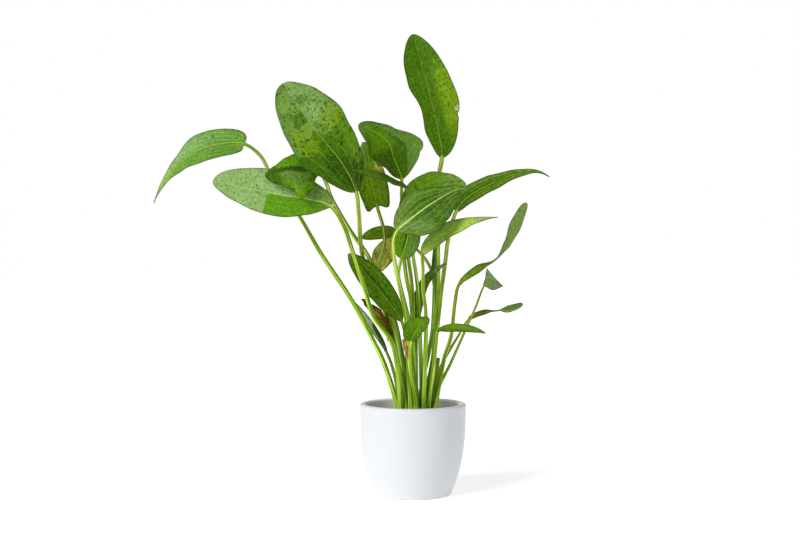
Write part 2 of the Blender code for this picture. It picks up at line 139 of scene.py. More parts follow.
def newGroup(name, inputs, outputs):
    # a shader group with its inputs, vectors where no number is given, and its outputs
    group = bpy.data.node_groups.new(name, "ShaderNodeTree")
    for label, value in inputs.items():
        kind = "NodeSocketVector" if value is None else "NodeSocketFloat"
        socket = group.interface.new_socket(name=label, in_out="INPUT", socket_type=kind)
        if value is not None:
            socket.default_value = value
    for label in outputs:
        group.interface.new_socket(name=label, in_out="OUTPUT", socket_type="NodeSocketFloat")
    given = Outputs(group, group.nodes.new("NodeGroupInput").outputs)
    return group, given, group.nodes.new("NodeGroupOutput").inputs


def use(group, **values):
    return put("Group", values, node_tree=group)


def newMaterial(name):
    material = bpy.data.materials.new(name)
    material.use_nodes = True
    material.node_tree.nodes.clear()
    return material, material.node_tree


def shaded(color, roughness, height, look, coat=0.0):
    # a Principled shader raised by the height, its other values from the look, and its bump
    bump = put("Bump", {"Strength": look["bump"], "Distance": look["relief"], "Height": height})[0]
    return put("BsdfPrincipled", {
        "Base Color": color, "Roughness": roughness, "Specular IOR Level": look["specular"],
        "Coat Weight": coat, "Coat Roughness": look.get("coatRoughness", 0.03), "Normal": bump,
    })[0], bump


def finished(material, shader, through=None, share=0.0):
    # the material with its shader, and a share of the light goes through where a second is given
    if through is not None:
        shader = put("MixShader", {0: share, 1: shader, 2: through})[0]
    put("OutputMaterial", {"Surface": shader})
    return material


# Studio: a level camera, one broad light from the upper left, and white all round

studio = dict(
    eye=(-9.14, -850.0, 160.3), lens=54.0, sensor=36.0,
    shown=1.0,  # how bright the surroundings look
    skylight=0.46,  # how much they light the plant, as a bright wall far behind does
    sunFrom=(-0.62, -0.60, 0.52), sunStrength=2.25,
    sunAngle=30.0,  # how broad the light is
    floorColor=(0.90, 0.90, 0.91), floorSize=24000.0, floorDrop=0.03,
    floorGlow=0.48,  # the floor is lit from below too, so its shadows stay faint
)


def makeStudio():
    camera = bpy.data.objects.new("camera", bpy.data.cameras.new("camera"))
    camera.data.lens, camera.data.sensor_width = studio["lens"], studio["sensor"]
    camera.data.clip_start, camera.data.clip_end = 0.05, 60
    camera.location = [value * mm for value in studio["eye"]]
    camera.rotation_euler = (math.pi / 2, 0, 0)  # level, looking along +Y
    scene.camera = camera

    sun = bpy.data.objects.new("broadLight", bpy.data.lights.new("broadLight", "SUN"))
    sun.data.energy, sun.data.angle = studio["sunStrength"], math.radians(studio["sunAngle"])
    sun.rotation_euler = Vector(studio["sunFrom"]).to_track_quat("Z", "Y").to_euler()

    world = bpy.data.worlds.new("whiteStudio")
    world.use_nodes = True
    world.node_tree.nodes.clear()
    scene.world = world
    white = (1.0, 1.0, 1.0)
    lit, shown = (put("Background", {"Color": white, "Strength": studio[key]}, world.node_tree)[0]
                  for key in ("skylight", "shown"))
    seen = put("LightPath", tree=world.node_tree)["Is Camera Ray"]
    put("OutputWorld", {"Surface": put("MixShader", {0: seen, 1: lit, 2: shown})[0]})

    half, low = studio["floorSize"] / 2 * mm, -studio["floorDrop"] * mm
    mesh = bpy.data.meshes.new("floor")
    corners = [(-half, -half, low), (half, -half, low), (half, half, low), (-half, half, low)]
    mesh.from_pydata(corners, [], [(0, 1, 2, 3)])
    material, tree = newMaterial("paleFloor")
    shader = put("BsdfPrincipled", {
        "Base Color": studio["floorColor"], "Roughness": 0.8, "Specular IOR Level": 0.1,
        "Emission Color": white, "Emission Strength": studio["floorGlow"],
    }, tree)[0]
    mesh.materials.append(finished(material, shader))
    floor = bpy.data.objects.new("floor", mesh)
    for thing in (camera, sun, floor):
        scene.collection.objects.link(thing)
    scene.view_settings.view_transform = "Standard"


makeStudio()
print("studio: camera, broad light and floor in place")


# Mesh helpers

def unit(vectors):
    return vectors / np.maximum(np.linalg.norm(vectors, axis=-1, keepdims=True), 1e-9)


def ripple(x, y, length, seed):
    # five sine waves of about that length in different directions, added: from -1 to 1
    dice = np.random.default_rng(seed)
    turns, phases = dice.uniform(0, 2 * math.pi, (2, 5))
    total = 0
    for turn, phase, scale in zip(turns, phases, dice.uniform(0.7, 1.6, 5)):
        along = (x * math.cos(turn) + y * math.sin(turn)) / (length * scale)
        total = total + np.sin(2 * math.pi * along + phase)
    return total / 5


def circle(steps):
    return np.linspace(0, 2 * math.pi, steps, endpoint=False)


def ringFaces(rows, around):
    # quads between each closed ring of points and the next one
    index = np.arange(rows * around).reshape(rows, around)
    beside = np.roll(index, -1, axis=1)
    return np.stack([index[:-1], beside[:-1], beside[1:], index[1:]], axis=-1).reshape(-1, 4)


def closedTube(rings):
    # a shell is its points, its quads and its caps: here the first and the last ring
    rows, around = rings.shape[:2]
    ring = np.arange(around)
    caps = [ring[::-1], ring + (rows - 1) * around]
    return rings.reshape(-1, 3), ringFaces(rows, around), caps


def bothSkins(front, back):
    # rows of vectors on the front skin, each going on backwards along the back skin
    return np.concatenate([front, back[:, ::-1]], axis=1).reshape(-1, 3)


def closedSkins(front, back):
    # both skins and the quads that close the first and the last row
    rows, columns = front.shape[:2]
    first = np.arange(columns - 1)
    last = 2 * columns - 1 - first
    strip = np.stack([first + 1, first, last, last - 1], axis=-1)
    end = strip[:, ::-1] + (rows - 1) * 2 * columns
    return bothSkins(front, back), np.concatenate([ringFaces(rows, 2 * columns), strip, end]), []


def turned(profile, steps):
    # every point (radius, height) of the profile swept round in even steps
    turn = circle(steps)
    radius, height = profile[:, 0, None], profile[:, 1, None]
    return np.stack([radius * np.cos(turn), radius * np.sin(turn), height + 0 * turn], axis=-1)


def tubeRings(line, radii, sides, ribbed=0.0, flare=1.0):
    # r(t) = R (1 + ribs cos 3t) carried along the line; flare widens the rings sideways
    tangent = unit(np.gradient(line, axis=0))
    first = unit(np.cross(tangent, [0.0, 1.0, 0.05]))
    second = np.cross(tangent, first)
    turn = circle(sides)
    ribs = ribbed * (np.cos(3 * turn + 0.6) + 0.4 * np.cos(7 * turn))
    radius = radii[:, None] * (1 + ribs)
    return (line[:, None] + (flare * radius * np.cos(turn))[..., None] * first[:, None]
            + (radius * np.sin(turn))[..., None] * second[:, None])


def outward(points, faces, caps):
    # the shell with its faces turned round if their volume about its middle is negative
    offset = points - points.mean(axis=0)
    a, b, c, d = (offset[faces[:, corner]] for corner in range(4))
    volume = np.einsum("ij,ij->", a, np.cross(b, c)) + np.einsum("ij,ij->", a, np.cross(c, d))
    if volume > 0:
        return points, faces, caps
    return points, faces[:, ::-1], [cap[::-1] for cap in caps]


def gathered(shells):
    # many shells as one, each turned outwards by itself
    points, faces, caps, start = [], [], [], 0
    for shell in shells:
        corners, quads, ends = outward(*shell)
        points.append(corners)
        faces.append(quads + start)
        caps += [end + start for end in ends]
        start += len(corners)
    return np.concatenate(points), np.concatenate(faces), caps


def addPiece(name, shell, material, node=None, values=None):
    # a smooth mesh at the origin; values are vectors or numbers kept for each point
    points, faces, caps = outward(*shell)
    mesh = bpy.data.meshes.new(name)
    mesh.from_pydata((points * mm).tolist(), [], faces.tolist() + [list(cap) for cap in caps])
    mesh.shade_smooth()
    for label, value in (values or {}).items():
        kind, field = ("FLOAT_VECTOR", "vector") if value.ndim == 2 else ("FLOAT", "value")
        kept = mesh.attributes.new(label, kind, "POINT")
        kept.data.foreach_set(field, value.astype(np.float32).ravel())
    mesh.materials.append(material)
    piece = bpy.data.objects.new(name, mesh)
    scene.collection.objects.link(piece)
    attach(piece, "root")
    if node:
        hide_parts(node)


# Effects that several materials use

def fromWhole(value):
    # how far a value is from the nearest whole number
    return abs(value - calc("ROUND", value))


def makeVeinsGroup():
    # in leaf coordinates the side veins lie at even shares of the half width, so that they
    # arch from base to tip as the real ones do, and fine cross veins slant between them
    inputs = {"place": None, "size": None, "lines": 3.0, "midribWidth": 0.55, "veinWidth": 0.3,
              "crossSpacing": 2.2, "seed": 0.0}
    outputs = ["midrib", "veins", "cross", "net", "margin"]
    group, given, result = newGroup("leafVeins", inputs, outputs)
    place, size = split(given["place"]), split(given["size"])
    where = shift(given["size"], given["seed"] * 5.3)
    reach = abs(place[1])
    fromMidrib = reach * size[2]
    width = given["midribWidth"] * (1.15 - place[0])
    feed(result["midrib"], ease(fromMidrib, width * 0.3, width * 1.2, 1.0, 0.0))
    wander = (noise(where, 0.06, 2.0) - 0.5) * 0.55
    count = reach * given["lines"] + wander  # of lines from the midrib to here
    apart = fromWhole(count) * size[2] / given["lines"]
    lines = ease(apart, given["veinWidth"] * 0.3, given["veinWidth"] * 1.5, 1.0, 0.0)
    between = calc("GREATER_THAN", count, 0.5) * calc("LESS_THAN", count, given["lines"] - 0.5)
    faded = ease(noise(where, 0.12, 2.0), 0.35, 0.6, 0.35, 1.0)
    feed(result["veins"], lines * between * faded)
    slant = size[0] - fromMidrib * 0.75 + noise(where, 0.25, 2.0) * 3.0
    apart = fromWhole(slant / given["crossSpacing"])
    broken = ease(noise(where, 0.35, 2.0), 0.42, 0.6)
    feed(result["cross"], ease(apart, 0.03, 0.2, 1.0, 0.0) * broken)
    cells = cellsOf(where, 0.8, "DISTANCE_TO_EDGE")
    feed(result["net"], ease(cells["Distance"], 0.02, 0.14, 1.0, 0.0))
    feed(result["margin"], ease((1.0 - reach) * size[2], 0.2, 1.15, 1.0, 0.0))
    return group


def makeSpecklesGroup():
    # dark flecks, one in some of the cells of a slanting grid, long in its direction, each of
    # its own size, and gathered in patches
    inputs = {"size": None, "seed": 0.0, "density": 0.5, "fleck": 2.0, "long": 2.0, "slant": 0.0}
    group, given, result = newGroup("speckles", inputs, ["spots"])
    size = split(given["size"])
    reach = abs(size[1])
    cosine, sine = calc("COSINE", given["slant"]), calc("SINE", given["slant"])
    along = (size[0] * cosine + reach * sine) / (given["fleck"] * given["long"])
    across = (reach * cosine - size[0] * sine) / given["fleck"]
    side = calc("GREATER_THAN", size[1], 0.0) * 31.0 + given["seed"]
    where = join(along, across, side)
    frayed = join(noise(where, 2.2, 2.0) * 0.7, noise(where, 3.1, 2.0) * 0.5)
    cells = cellsOf(combine("ADD", where, frayed), 1.0)
    dice = put("SeparateColor", {0: cells["Color"]})
    gather = ease(noise(given["size"], 0.09, 2.0), 0.36, 0.60, 0.3, 1.0)
    chosen = calc("LESS_THAN", dice[0], given["density"] * gather)
    radius = dice[1] * 0.26 + 0.14
    feed(result["spots"], ease(radius - cells["Distance"], -0.05, 0.08) * chosen)
    return group


def makeZoneGroup():
    # (|x|^p + |y|^p)^(1/p) from the middle of an oval in leaf coordinates, with a soft or
    # ragged edge where it is 1
    inputs = {"place": None, "size": None, "along": 0.5, "across": 0.0, "length": 0.5,
              "width": 0.5, "soft": 0.2, "ragged": 0.0, "power": 3.0, "seed": 0.0}
    group, given, result = newGroup("zone", inputs, ["zone"])
    place, power = split(given["place"]), given["power"]
    along = abs((place[0] - given["along"]) / given["length"])
    across = abs((place[1] - given["across"]) / given["width"])
    distance = calc("POWER", calc("POWER", along, power) + calc("POWER", across, power),
                    calc("DIVIDE", 1.0, power))
    uneven = noise(shift(given["size"], given["seed"] * 7.3), 0.16, 5.0) - 0.5
    distance = distance + uneven * given["ragged"] * 2.0
    feed(result["zone"], ease(distance, 1.0 - given["soft"], given["soft"] + 1.0, 1.0, 0.0))
    return group


def makeTissueGroup():
    # broad mottling and fine grain of living tissue
    group, given, result = newGroup(
        "tissue", {"size": None, "seed": 0.0}, ["mottle", "patches", "grain"])
    where = shift(given["size"], given["seed"] * 3.1)
    feed(result["mottle"], ease(noise(where, 0.11, 4.0), 0.3, 0.7))
    feed(result["patches"], noise(where, 0.45, 3.0))
    feed(result["grain"], noise(where, 2.2, 2.0))
    return group


veinsGroup, specklesGroup = makeVeinsGroup(), makeSpecklesGroup()
zoneGroup, tissueGroup = makeZoneGroup(), makeTissueGroup()
print("shared effects: veins, speckles, zones, tissue")


# Leaves: one smooth line from the crown to the tip, and a blade spread about its upper part

plant = dict(
    eye=(-9.0, -850.0, 160.0),  # leaning moves points along the lines of sight from here
    crownCenter=(3.0, 0.0), ringSpacing=4.3,
    footHeight=55.3, rootDepth=15.0,
    neckHalfWidth=1.2, tipHalfWidth=0.35,  # least half width of a blade
    thickness=0.55, marginThickness=0.2,
    neckLength=5.0,  # over which the stalk's thickness fades into the blade
    groove=0.2,  # depth of the midrib's groove on the upper side
    waveLength=21.0, creaseLength=7.0,
    pathPoints=400,  # of the fine line that is worked out first
    spacing=0.75,  # of the blade's points
    stalkSides=14, stalkSpacing=1.6,
    stalkRibs=0.05,  # share of the stalk's radius
    sheath=0.45, sheathHeight=9.0,  # how much wider the foot of a stalk is, and how far up
    fibreTurn=1.6,  # radius of the circle that the fibres' pattern is wound round
)

# One entry for each leaf:
#   foot     ring on the crown and the compass angle in it, 0 to the right, 90 to the back
#   thick    diameter of the stalk at the foot and at the blade
#   stalk    points that the stalk passes between its foot and the blade
#   midrib   points along the blade from its base to its tip
#   left     width of the left half, looking along the leaf at its upper side
#   right    width of the right half
#   face     where the upper side looks
#   ends     how the blade narrows to its base and to its tip: 0.5 round, 1 pointed
#   fold     how far each half is raised from flat
#   curl     how far the left and the right half bend on from there to the margin
#   lobe     how far the margin sweeps back beside the stalk
#   lean     how much further back the tip is than the points say, along the line of sight
#   crumple  height of the dry creases
#   nick     side, share of the length, length and depth of a small loss at the margin
# A list of values runs from the blade's base to its tip in even steps.
usual = dict(
    ends=(0.5, 0.5), fold=8, curl=(6, 6), lobe=0, lean=0, crumple=0, nick=None, midrib=[],
    lines=3,  # the side veins' number, counting the margin
    wave=0.4,  # height of the margin's waves
    quilting=0.16,  # how far the tissue bulges between the side veins
)
leaves = {
    "top": dict(
        foot=(2, 60), thick=(4.0, 3.2), ends=(0.5, 0.6), curl=(5, 5), lean=22,
        nick=("right", 0.3, 2.0, 1.3), wave=0.5,
        stalk=[(15, 11, 96), (17, 12, 123), (18, 12, 149), (18, 12, 195), (19, 12, 226)],
        midrib=[(21, 12, 239), (17, 14, 264), (10.5, 16, 291), (0, 20, 329)],
        left=[11, 11, 9, 14.5, 17, 17], right=[17, 18, 20, 18.7, 18, 17],
        face=[(0.1, -1, 0), (0, -1, 0)],
    ),
    "upper_left": dict(
        foot=(1, 150), thick=(3.8, 2.8), fold=6, curl=(4, 4), wave=0.12,
        stalk=[(-9, 0, 105), (-14, -1, 125), (-26, -2, 144), (-35, -12, 166.5), (-37.5, -24, 198)],
        midrib=[(-39, -32, 211.5), (-48, -36, 230), (-64, -36, 250), (-77, -33, 267.5),
                (-89.5, -28, 286)],
        left=[18, 20.5, 23, 20.5, 19.4, 19], right=[11, 18, 20.7, 23.5, 22, 17.5],
        face=[(0.1, -1, 0), (0, -1, 0.1)],
    ),
    "far_left": dict(
        foot=(3, 180), thick=(3.8, 2.4), ends=(0.45, 1), curl=(8, 8), lobe=15, lean=18, lines=4,
        wave=0.15,
        stalk=[(-20, 1, 91), (-29, 2, 110), (-43, 3, 136), (-66, 5, 171), (-80, 6, 195),
               (-102, 6, 228), (-109, 6, 240)],
        midrib=[(-120, 5, 248), (-134, 4, 248.5), (-148.5, 3, 245), (-160.7, 3, 238),
                (-171.3, 4, 228), (-178.5, 5, 218.5), (-185.2, 8, 206)],
        left=[13, 14.6, 14, 9.8, 5.5, 3], right=[13, 12, 12, 7.5, 5.2, 3],
        face=[(-0.1, -0.85, 0.5), (-0.4, -0.85, 0.3)],
    ),
    "mid_left": dict(
        foot=(3, 205), thick=(3.8, 2.6), fold=6, wave=0.12,
        stalk=[(-11, -15, 92), (-15, -20, 109), (-27, -25, 126), (-33, -26, 144),
               (-41, -26, 169), (-48, -26, 189)],
        midrib=[(-57, -25, 202), (-71, -26, 206.5), (-92, -28, 210), (-137, -30, 219)],
        left=[13, 16.5, 18, 17, 14.5, 12], right=[18, 17.2, 18, 16.6, 16, 16],
        face=[(0, -0.93, 0.36)],
    ),
    "folded": dict(
        foot=(2, 180), thick=(3.6, 2.6), ends=(0.35, 0.4), fold=0, curl=(-50, 0), lobe=34,
        stalk=[(-13, -5, 105), (-19, -6, 127), (-30, -6, 165), (-44, -12, 186), (-56, -19, 207)],
        midrib=[(-63.5, -25, 224.5), (-78, -31, 229), (-91, -32, 227), (-101, -32, 222)],
        left=[5, 17, 24.5, 16.5, 14, 14], right=[10, 11.5, 12, 9, 5.5, 4], face=[(0, -0.8, 0.6)],
    ),
    "cupped": dict(
        foot=(0, 0), thick=(3.4, 2.4), curl=(6, 55), lean=5, wave=0.2,
        stalk=[(-1.5, 0, 138), (-4, 1, 150), (-6, 2, 165), (-7, 3, 197), (-8, 3, 211)],
        midrib=[(-8, 3, 223), (-13, 1, 236), (-18.5, -2, 249.5), (-38.5, -5, 260)],
        left=[12, 10.5, 17, 18, 13, 10], right=[15, 24, 26, 11.5, 9, 9],
        face=[(0.25, -1, 0.1), (0.1, -1, 0.1)],
    ),
    "inner_left": dict(
        foot=(2, 150), thick=(3.6, 2.4), ends=(0.45, 0.6), lobe=20, lean=14,
        stalk=[(-12, 5, 110), (-21, 6, 137), (-24, 7, 160), (-20, 8, 182)],
        midrib=[(-25.5, 9, 204), (-30, 10, 223), (-33, 12, 243), (-36, 13, 250)],
        left=[14, 11, 11, 10, 10, 9], right=[14, 12.5, 11.5, 10.5, 9.5, 9], face=[(0, -1, 0)],
    ),
    "edge_on": dict(
        foot=(1, 330), thick=(3.4, 2.2), ends=(0.4, 0.6), fold=6,
        stalk=[(3, -3, 149), (0, -3, 169), (-3, -2, 197)],
        midrib=[(-4.9, -3, 216.2), (-11.4, -12, 219), (-17.7, -21, 221.2), (-25.9, -32, 223.2),
                (-33.9, -40, 224.2), (-41.5, -46, 225.6)],
        left=[3, 6.4, 7.6, 6.4, 5], right=[3, 4.2, 4.2, 4.2, 4.2], face=[(0.2, -1, 0.9)],
    ),
    "front_center": dict(
        foot=(2, 270), thick=(3.8, 2.6), fold=6, lean=-8, lines=4, quilting=0.3, wave=0.3,
        stalk=[(1.2, -10.4, 70), (-2, -14, 90), (-3, -17, 105), (-5, -20, 127), (-10, -25, 150),
               (-13.5, -28, 170), (-13.5, -29, 179)],
        midrib=[(-11, -29, 185), (3, -29, 197), (16, -28, 206), (29, -27, 213), (36, -25, 214)],
        left=[14, 14.6, 15, 10.7, 6, 4], right=[14, 18.5, 19.5, 16.5, 13, 10],
        face=[(-0.1, -1, 0.2), (0, -1, 0.2)],
    ),
    "behind_center": dict(
        foot=(1, 210), thick=(3.4, 2.4), lines=4, quilting=0.3, wave=0.3,
        stalk=[(0, -6, 137), (-1, -7, 150), (-3, -8.5, 165), (-5, -9.5, 180)],
        midrib=[(-6, -10, 191), (5, -13, 205), (19, -16, 214), (37, -18, 216.5)],
        left=[13, 14.5, 16, 15, 12, 9], right=12, face=[(-0.2, -1, 0.2), (0, -1, 0.2)],
    ),
    "far_right": dict(
        foot=(2, 30), thick=(3.8, 2.6), ends=(0.5, 1.1), lean=22,
        stalk=[(18, 2, 123), (20, 1, 141), (23, 0, 164), (25, 0, 179)],
        midrib=[(31, 3, 200), (39, 6, 210), (61, 10, 222), (76, 12, 227.5), (89, 13, 229),
                (98.5, 14, 225)],
        left=[8, 7.8, 7.2, 6, 5.2, 5], right=[6.8, 6.9, 6.6, 6.1, 6, 6], face=[(0, -0.85, 0.5)],
    ),
    "mid_right": dict(
        foot=(2, 300), thick=(3.6, 2.2), ends=(0.45, 1.1), lean=-18,
        stalk=[(9, -12, 127), (7, -12, 146), (7, -12, 159)],
        midrib=[(7, -13, 169.5), (16, -15, 179), (26, -17, 186), (38, -20, 191),
                (48, -23, 193.5), (58, -25, 194.5)],
        left=[6, 6.6, 6.9, 6, 4.5, 3], right=[5, 5.4, 6.2, 7, 6, 5],
        face=[(-0.2, -0.85, 0.5), (0, -0.85, 0.5)],
    ),
    "twisted": dict(
        foot=(3, 340), thick=(3.6, 2.4), ends=(0.5, 0.4), fold=10, curl=(8, 8), lean=-14,
        stalk=[(18, -3.6, 74), (22.5, -3, 97), (27, -1.5, 111), (30, 0, 136)],
        midrib=[(33, 1, 148), (46, 2, 158), (57, 3, 164), (66, 3, 173), (73, 4, 187),
                (81, 5, 206)],
        left=[4.6, 5.2, 3, 4.6, 5.2, 5.4], right=[4.6, 5.2, 3, 4.8, 6.6, 6.8],
        face=[(-0.45, -0.8, 0.6), (-0.45, -0.7, 0.6), (-0.5, 0, 0.85), (-0.55, 0.6, 0.5),
              (-0.5, 0.85, 0.2), (-0.5, 0.85, 0.2)],
    ),
    "fan": dict(
        foot=(3, 0), thick=(2.8, 1.5), ends=(0.5, 0), fold=4, curl=(16, 16), lean=8,
        stalk=[(17.5, 1, 72), (26.5, 2, 91), (35, 3, 110), (45, 6, 132)],
        midrib=[(51.2, 9, 146.8), (54.8, 10, 149.8), (58.4, 11, 153)],
        left=[5.8, 8.4], right=[11.8, 9.6], face=[(0.3, -1, 0), (0.1, -1, 0.1)],
    ),
    "low_right": dict(
        foot=(3, 22), thick=(3.0, 1.7), ends=(0.4, 0.3), lean=14,
        stalk=[(20, 8, 88), (25, 10.5, 98), (33, 12.5, 111)],
        midrib=[(40.5, 12.5, 122.8), (51, 11, 127.5), (60, 10, 128.8), (70, 10.5, 130),
                (79, 12, 133.5)],
        left=[3.2, 3.2, 2.7, 3.6, 4, 4], right=[3.4, 3.4, 2.7, 3.6, 4, 4],
        face=[(-0.2, -0.9, 0.6), (-0.2, -0.6, 0.7), (-0.2, 0, 1), (-0.2, 0.75, 0.6),
              (-0.2, 0.8, 0.6)],
    ),
    "low_front_right": dict(
        foot=(2, 330), thick=(3.4, 2.0), ends=(0.6, 0.8), lean=-18,
        stalk=[(14.5, -8, 88), (16.5, -10, 108)],
        midrib=[(17.5, -10, 115.5), (25, -13, 117.5), (34, -16, 117.3), (42.5, -19, 116.3),
                (50, -22, 114.5)],
        left=4.5, right=5.2, face=[(0, -0.65, 0.75), (0.2, -0.65, 0.75)],
    ),
    "hanging": dict(
        foot=(2, 240), thick=(3.4, 2.2), ends=(0.65, 0.65), lean=-3,
        stalk=[(-4, -8, 95), (-5.5, -9, 115.5)],
        midrib=[(-8, -9, 122.5), (-22.5, -13, 143), (-45, -18, 169.5)],
        left=9.3, right=9.4, face=[(0.2, -1, 0.2)],
    ),
    "dry_rolled": dict(
        foot=(2, 210), thick=(3.2, 2.0), ends=(0.5, 0.6), fold=25, curl=(60, 70), crumple=1.1,
        stalk=[(-9, -7.5, 88)],
        midrib=[(-15, -10, 106), (-23, -12, 122), (-36, -14, 138)],
        left=6.5, right=6.5, face=[(0.6, -1, 0.4), (0.4, -1, 0.2)],
    ),
    "low_left": dict(
        foot=(3, 155), thick=(3.2, 2.0), ends=(0.7, 0.8), fold=10, curl=(8, 8), lean=12,
        stalk=[(-13, 6, 83)],
        midrib=[(-19, 8, 100), (-31, 9, 119), (-44, 10, 137)],
        left=3.8, right=3.8, face=[(0.8, -0.8, 0.4)],
    ),
    "low_front": dict(
        foot=(3, 265), thick=(3.2, 2.0), ends=(0.45, 0.5), lobe=6, lean=-12,
        stalk=[(2.2, -14.5, 67), (0.3, -17.5, 78), (-2, -22, 96)],
        midrib=[(-1.5, -23, 109), (2.5, -24, 117), (11, -24, 125)],
        left=[8, 8.5, 9, 8, 6, 5], right=[4, 4, 4, 4.5, 5, 5], face=[(0, -1, 0.2)],
    ),
    "yellowing": dict(
        foot=(2, 120), thick=(3.2, 1.8), ends=(0.5, 0.6), fold=10, curl=(10, 10), lean=14,
        crumple=0.45, lines=5,
        stalk=[(-6, 12, 115), (-15, 14, 137), (-21, 17, 147)],
        midrib=[(-24, 18, 157), (-19, 20, 170), (-10.5, 22, 182)],
        left=[9, 9.5, 9.5, 9, 8, 7], right=[6, 6.5, 7, 7, 6, 5], face=[(0, -1, 0.1)],
    ),
    "dark_back": dict(
        foot=(1, 30), thick=(3.2, 2.0), ends=(0.6, 0.7), lean=6,
        stalk=[(8, 6, 82), (14, 8, 115), (15, 9, 151), (11, 11, 163), (2, 14, 174)],
        midrib=[(-11, 17, 185), (-24, 16.5, 184.5), (-31, 16, 183), (-37, 15.5, 181)],
        left=6.5, right=6, face=[(0, -0.8, 0.6)],
    ),
    "under_center": dict(
        foot=(1, 270), thick=(3.2, 2.2), ends=(0.5, 0.6), lean=-4,
        stalk=[(1.5, -9, 90), (-1, -12, 115), (-6, -14, 137), (-10, -15, 155)],
        midrib=[(-8, -14, 166), (-4.5, -15.5, 178), (-1, -18, 196)],
        left=8.5, right=9, face=[(0, -1, 0)],
    ),
    "narrow_inner": dict(
        foot=(1, 90), thick=(3.0, 2.0), ends=(0.5, 0.9), lean=-3,
        stalk=[(2.5, 5, 105)],
        midrib=[(3, 6.5, 123), (4, 7, 137), (9.5, 7, 151), (24, 5, 163)],
        left=4, right=4, face=[(0.2, -1, 0), (0.2, -1, 0.2)],
    ),
    "narrow_back": dict(
        foot=(2, 90), thick=(3.2, 2.0), ends=(0.6, 0.8), lean=8,
        stalk=[(13.5, 16, 108), (15, 18, 129)],
        midrib=[(15.6, 20, 147), (16.5, 20, 164), (17, 21, 181)],
        left=2.8, right=2.6, face=[(0.2, -1, 0)],
    ),
}

# The stalk of a leaf that was cut away
cutStalk = dict(
    foot=(2, 0), thick=(3.6, 3.2),
    stalk=[(13, -1.2, 67), (15.6, -1.7, 81), (17.8, -2, 96)],
)


def hermite(points, slopes, knots, values):
    # the cubic curve through the points with the given slopes, read at the values
    index = np.clip(np.searchsorted(knots, values, side="right") - 1, 0, len(knots) - 2)
    step = (knots[index + 1] - knots[index])[:, None]
    along = (values - knots[index])[:, None] / step
    back = 1 - along
    near = (1 + 2 * along) * back ** 2 * points[index] + along * back ** 2 * step * slopes[index]
    far = (1 + 2 * back) * along ** 2 * points[index + 1]
    return near + far - back * along ** 2 * step * slopes[index + 1]


def summed(steps):
    # how far along each point is, from the steps between the points
    return np.concatenate([[0.0], np.cumsum(steps)])


def stepsOf(line):
    return np.linalg.norm(np.diff(line, axis=0), axis=1)


def leafPath(leaf):
    # root, foot and the listed points, leaned back with the square of their share of the way,
    # then one cubic curve through them: the stalk's part and the midrib's part
    ring, angle = leaf["foot"]
    reach, angle = ring * plant["ringSpacing"], math.radians(angle)
    centerX, centerY = plant["crownCenter"]
    x, y = centerX + reach * math.cos(angle), centerY + reach * math.sin(angle)
    root, foot = ((x, y, plant["footHeight"] - depth) for depth in (plant["rootDepth"], 0))
    points = np.array([root, foot, *leaf["stalk"], *leaf["midrib"]], dtype=float)
    way = summed(stepsOf(points))
    sight = points - plant["eye"]
    points = points + sight * (leaf["lean"] * (way / way[-1]) ** 2 / sight[:, 1])[:, None]
    knots = summed(np.sqrt(stepsOf(points)))
    slopes = np.gradient(points, knots, axis=0, edge_order=2)
    base = 1 + len(leaf["stalk"]) + bool(leaf["midrib"])
    spans = (knots[1], knots[base]), (knots[base], knots[-1])
    return [hermite(points, slopes, knots, np.linspace(start, end, plant["pathPoints"]))
            for start, end in spans]


def lengthOf(line):
    return stepsOf(line).sum()


def spread(points, shares):
    # a fine line of points read at the given shares of its length
    way = summed(stepsOf(points))
    return np.stack([np.interp(shares * way[-1], way, axis) for axis in points.T], axis=1)


def alongLeaf(values, shares):
    # a value or vector along the blade, easing from each listed one to the next
    table = np.atleast_1d(np.array(values, dtype=float))
    where = shares * (len(table) - 1)
    index = np.minimum(where.astype(int), max(len(table) - 2, 0))
    following = np.minimum(index + 1, len(table) - 1)
    part = where - index
    eased = part * part * (3 - 2 * part)
    if table.ndim == 2:
        eased = eased[:, None]
    return table[index] * (1 - eased) + table[following] * eased


def halfWidths(leaf, side, shares, length):
    # u^p (1-u)^q, scaled by the values of that half, less its nick
    toBase, toTip = leaf["ends"]
    widest = toBase / (toBase + toTip)
    shape = shares ** toBase * (1 - shares) ** toTip
    shape = shape / (widest ** toBase * (1 - widest) ** toTip)
    least = plant["neckHalfWidth"] + (plant["tipHalfWidth"] - plant["neckHalfWidth"]) * shares
    width = np.sqrt((alongLeaf(leaf[side], shares) * shape) ** 2 + least ** 2)
    if leaf["nick"] and leaf["nick"][0] == side:
        where, wide, deep = leaf["nick"][1:]
        width = width - deep * np.exp(-(((shares - where) * length / wide) ** 2))
    return width


def normalsOf(grid):
    return unit(np.cross(np.gradient(grid, axis=1), np.gradient(grid, axis=0)))


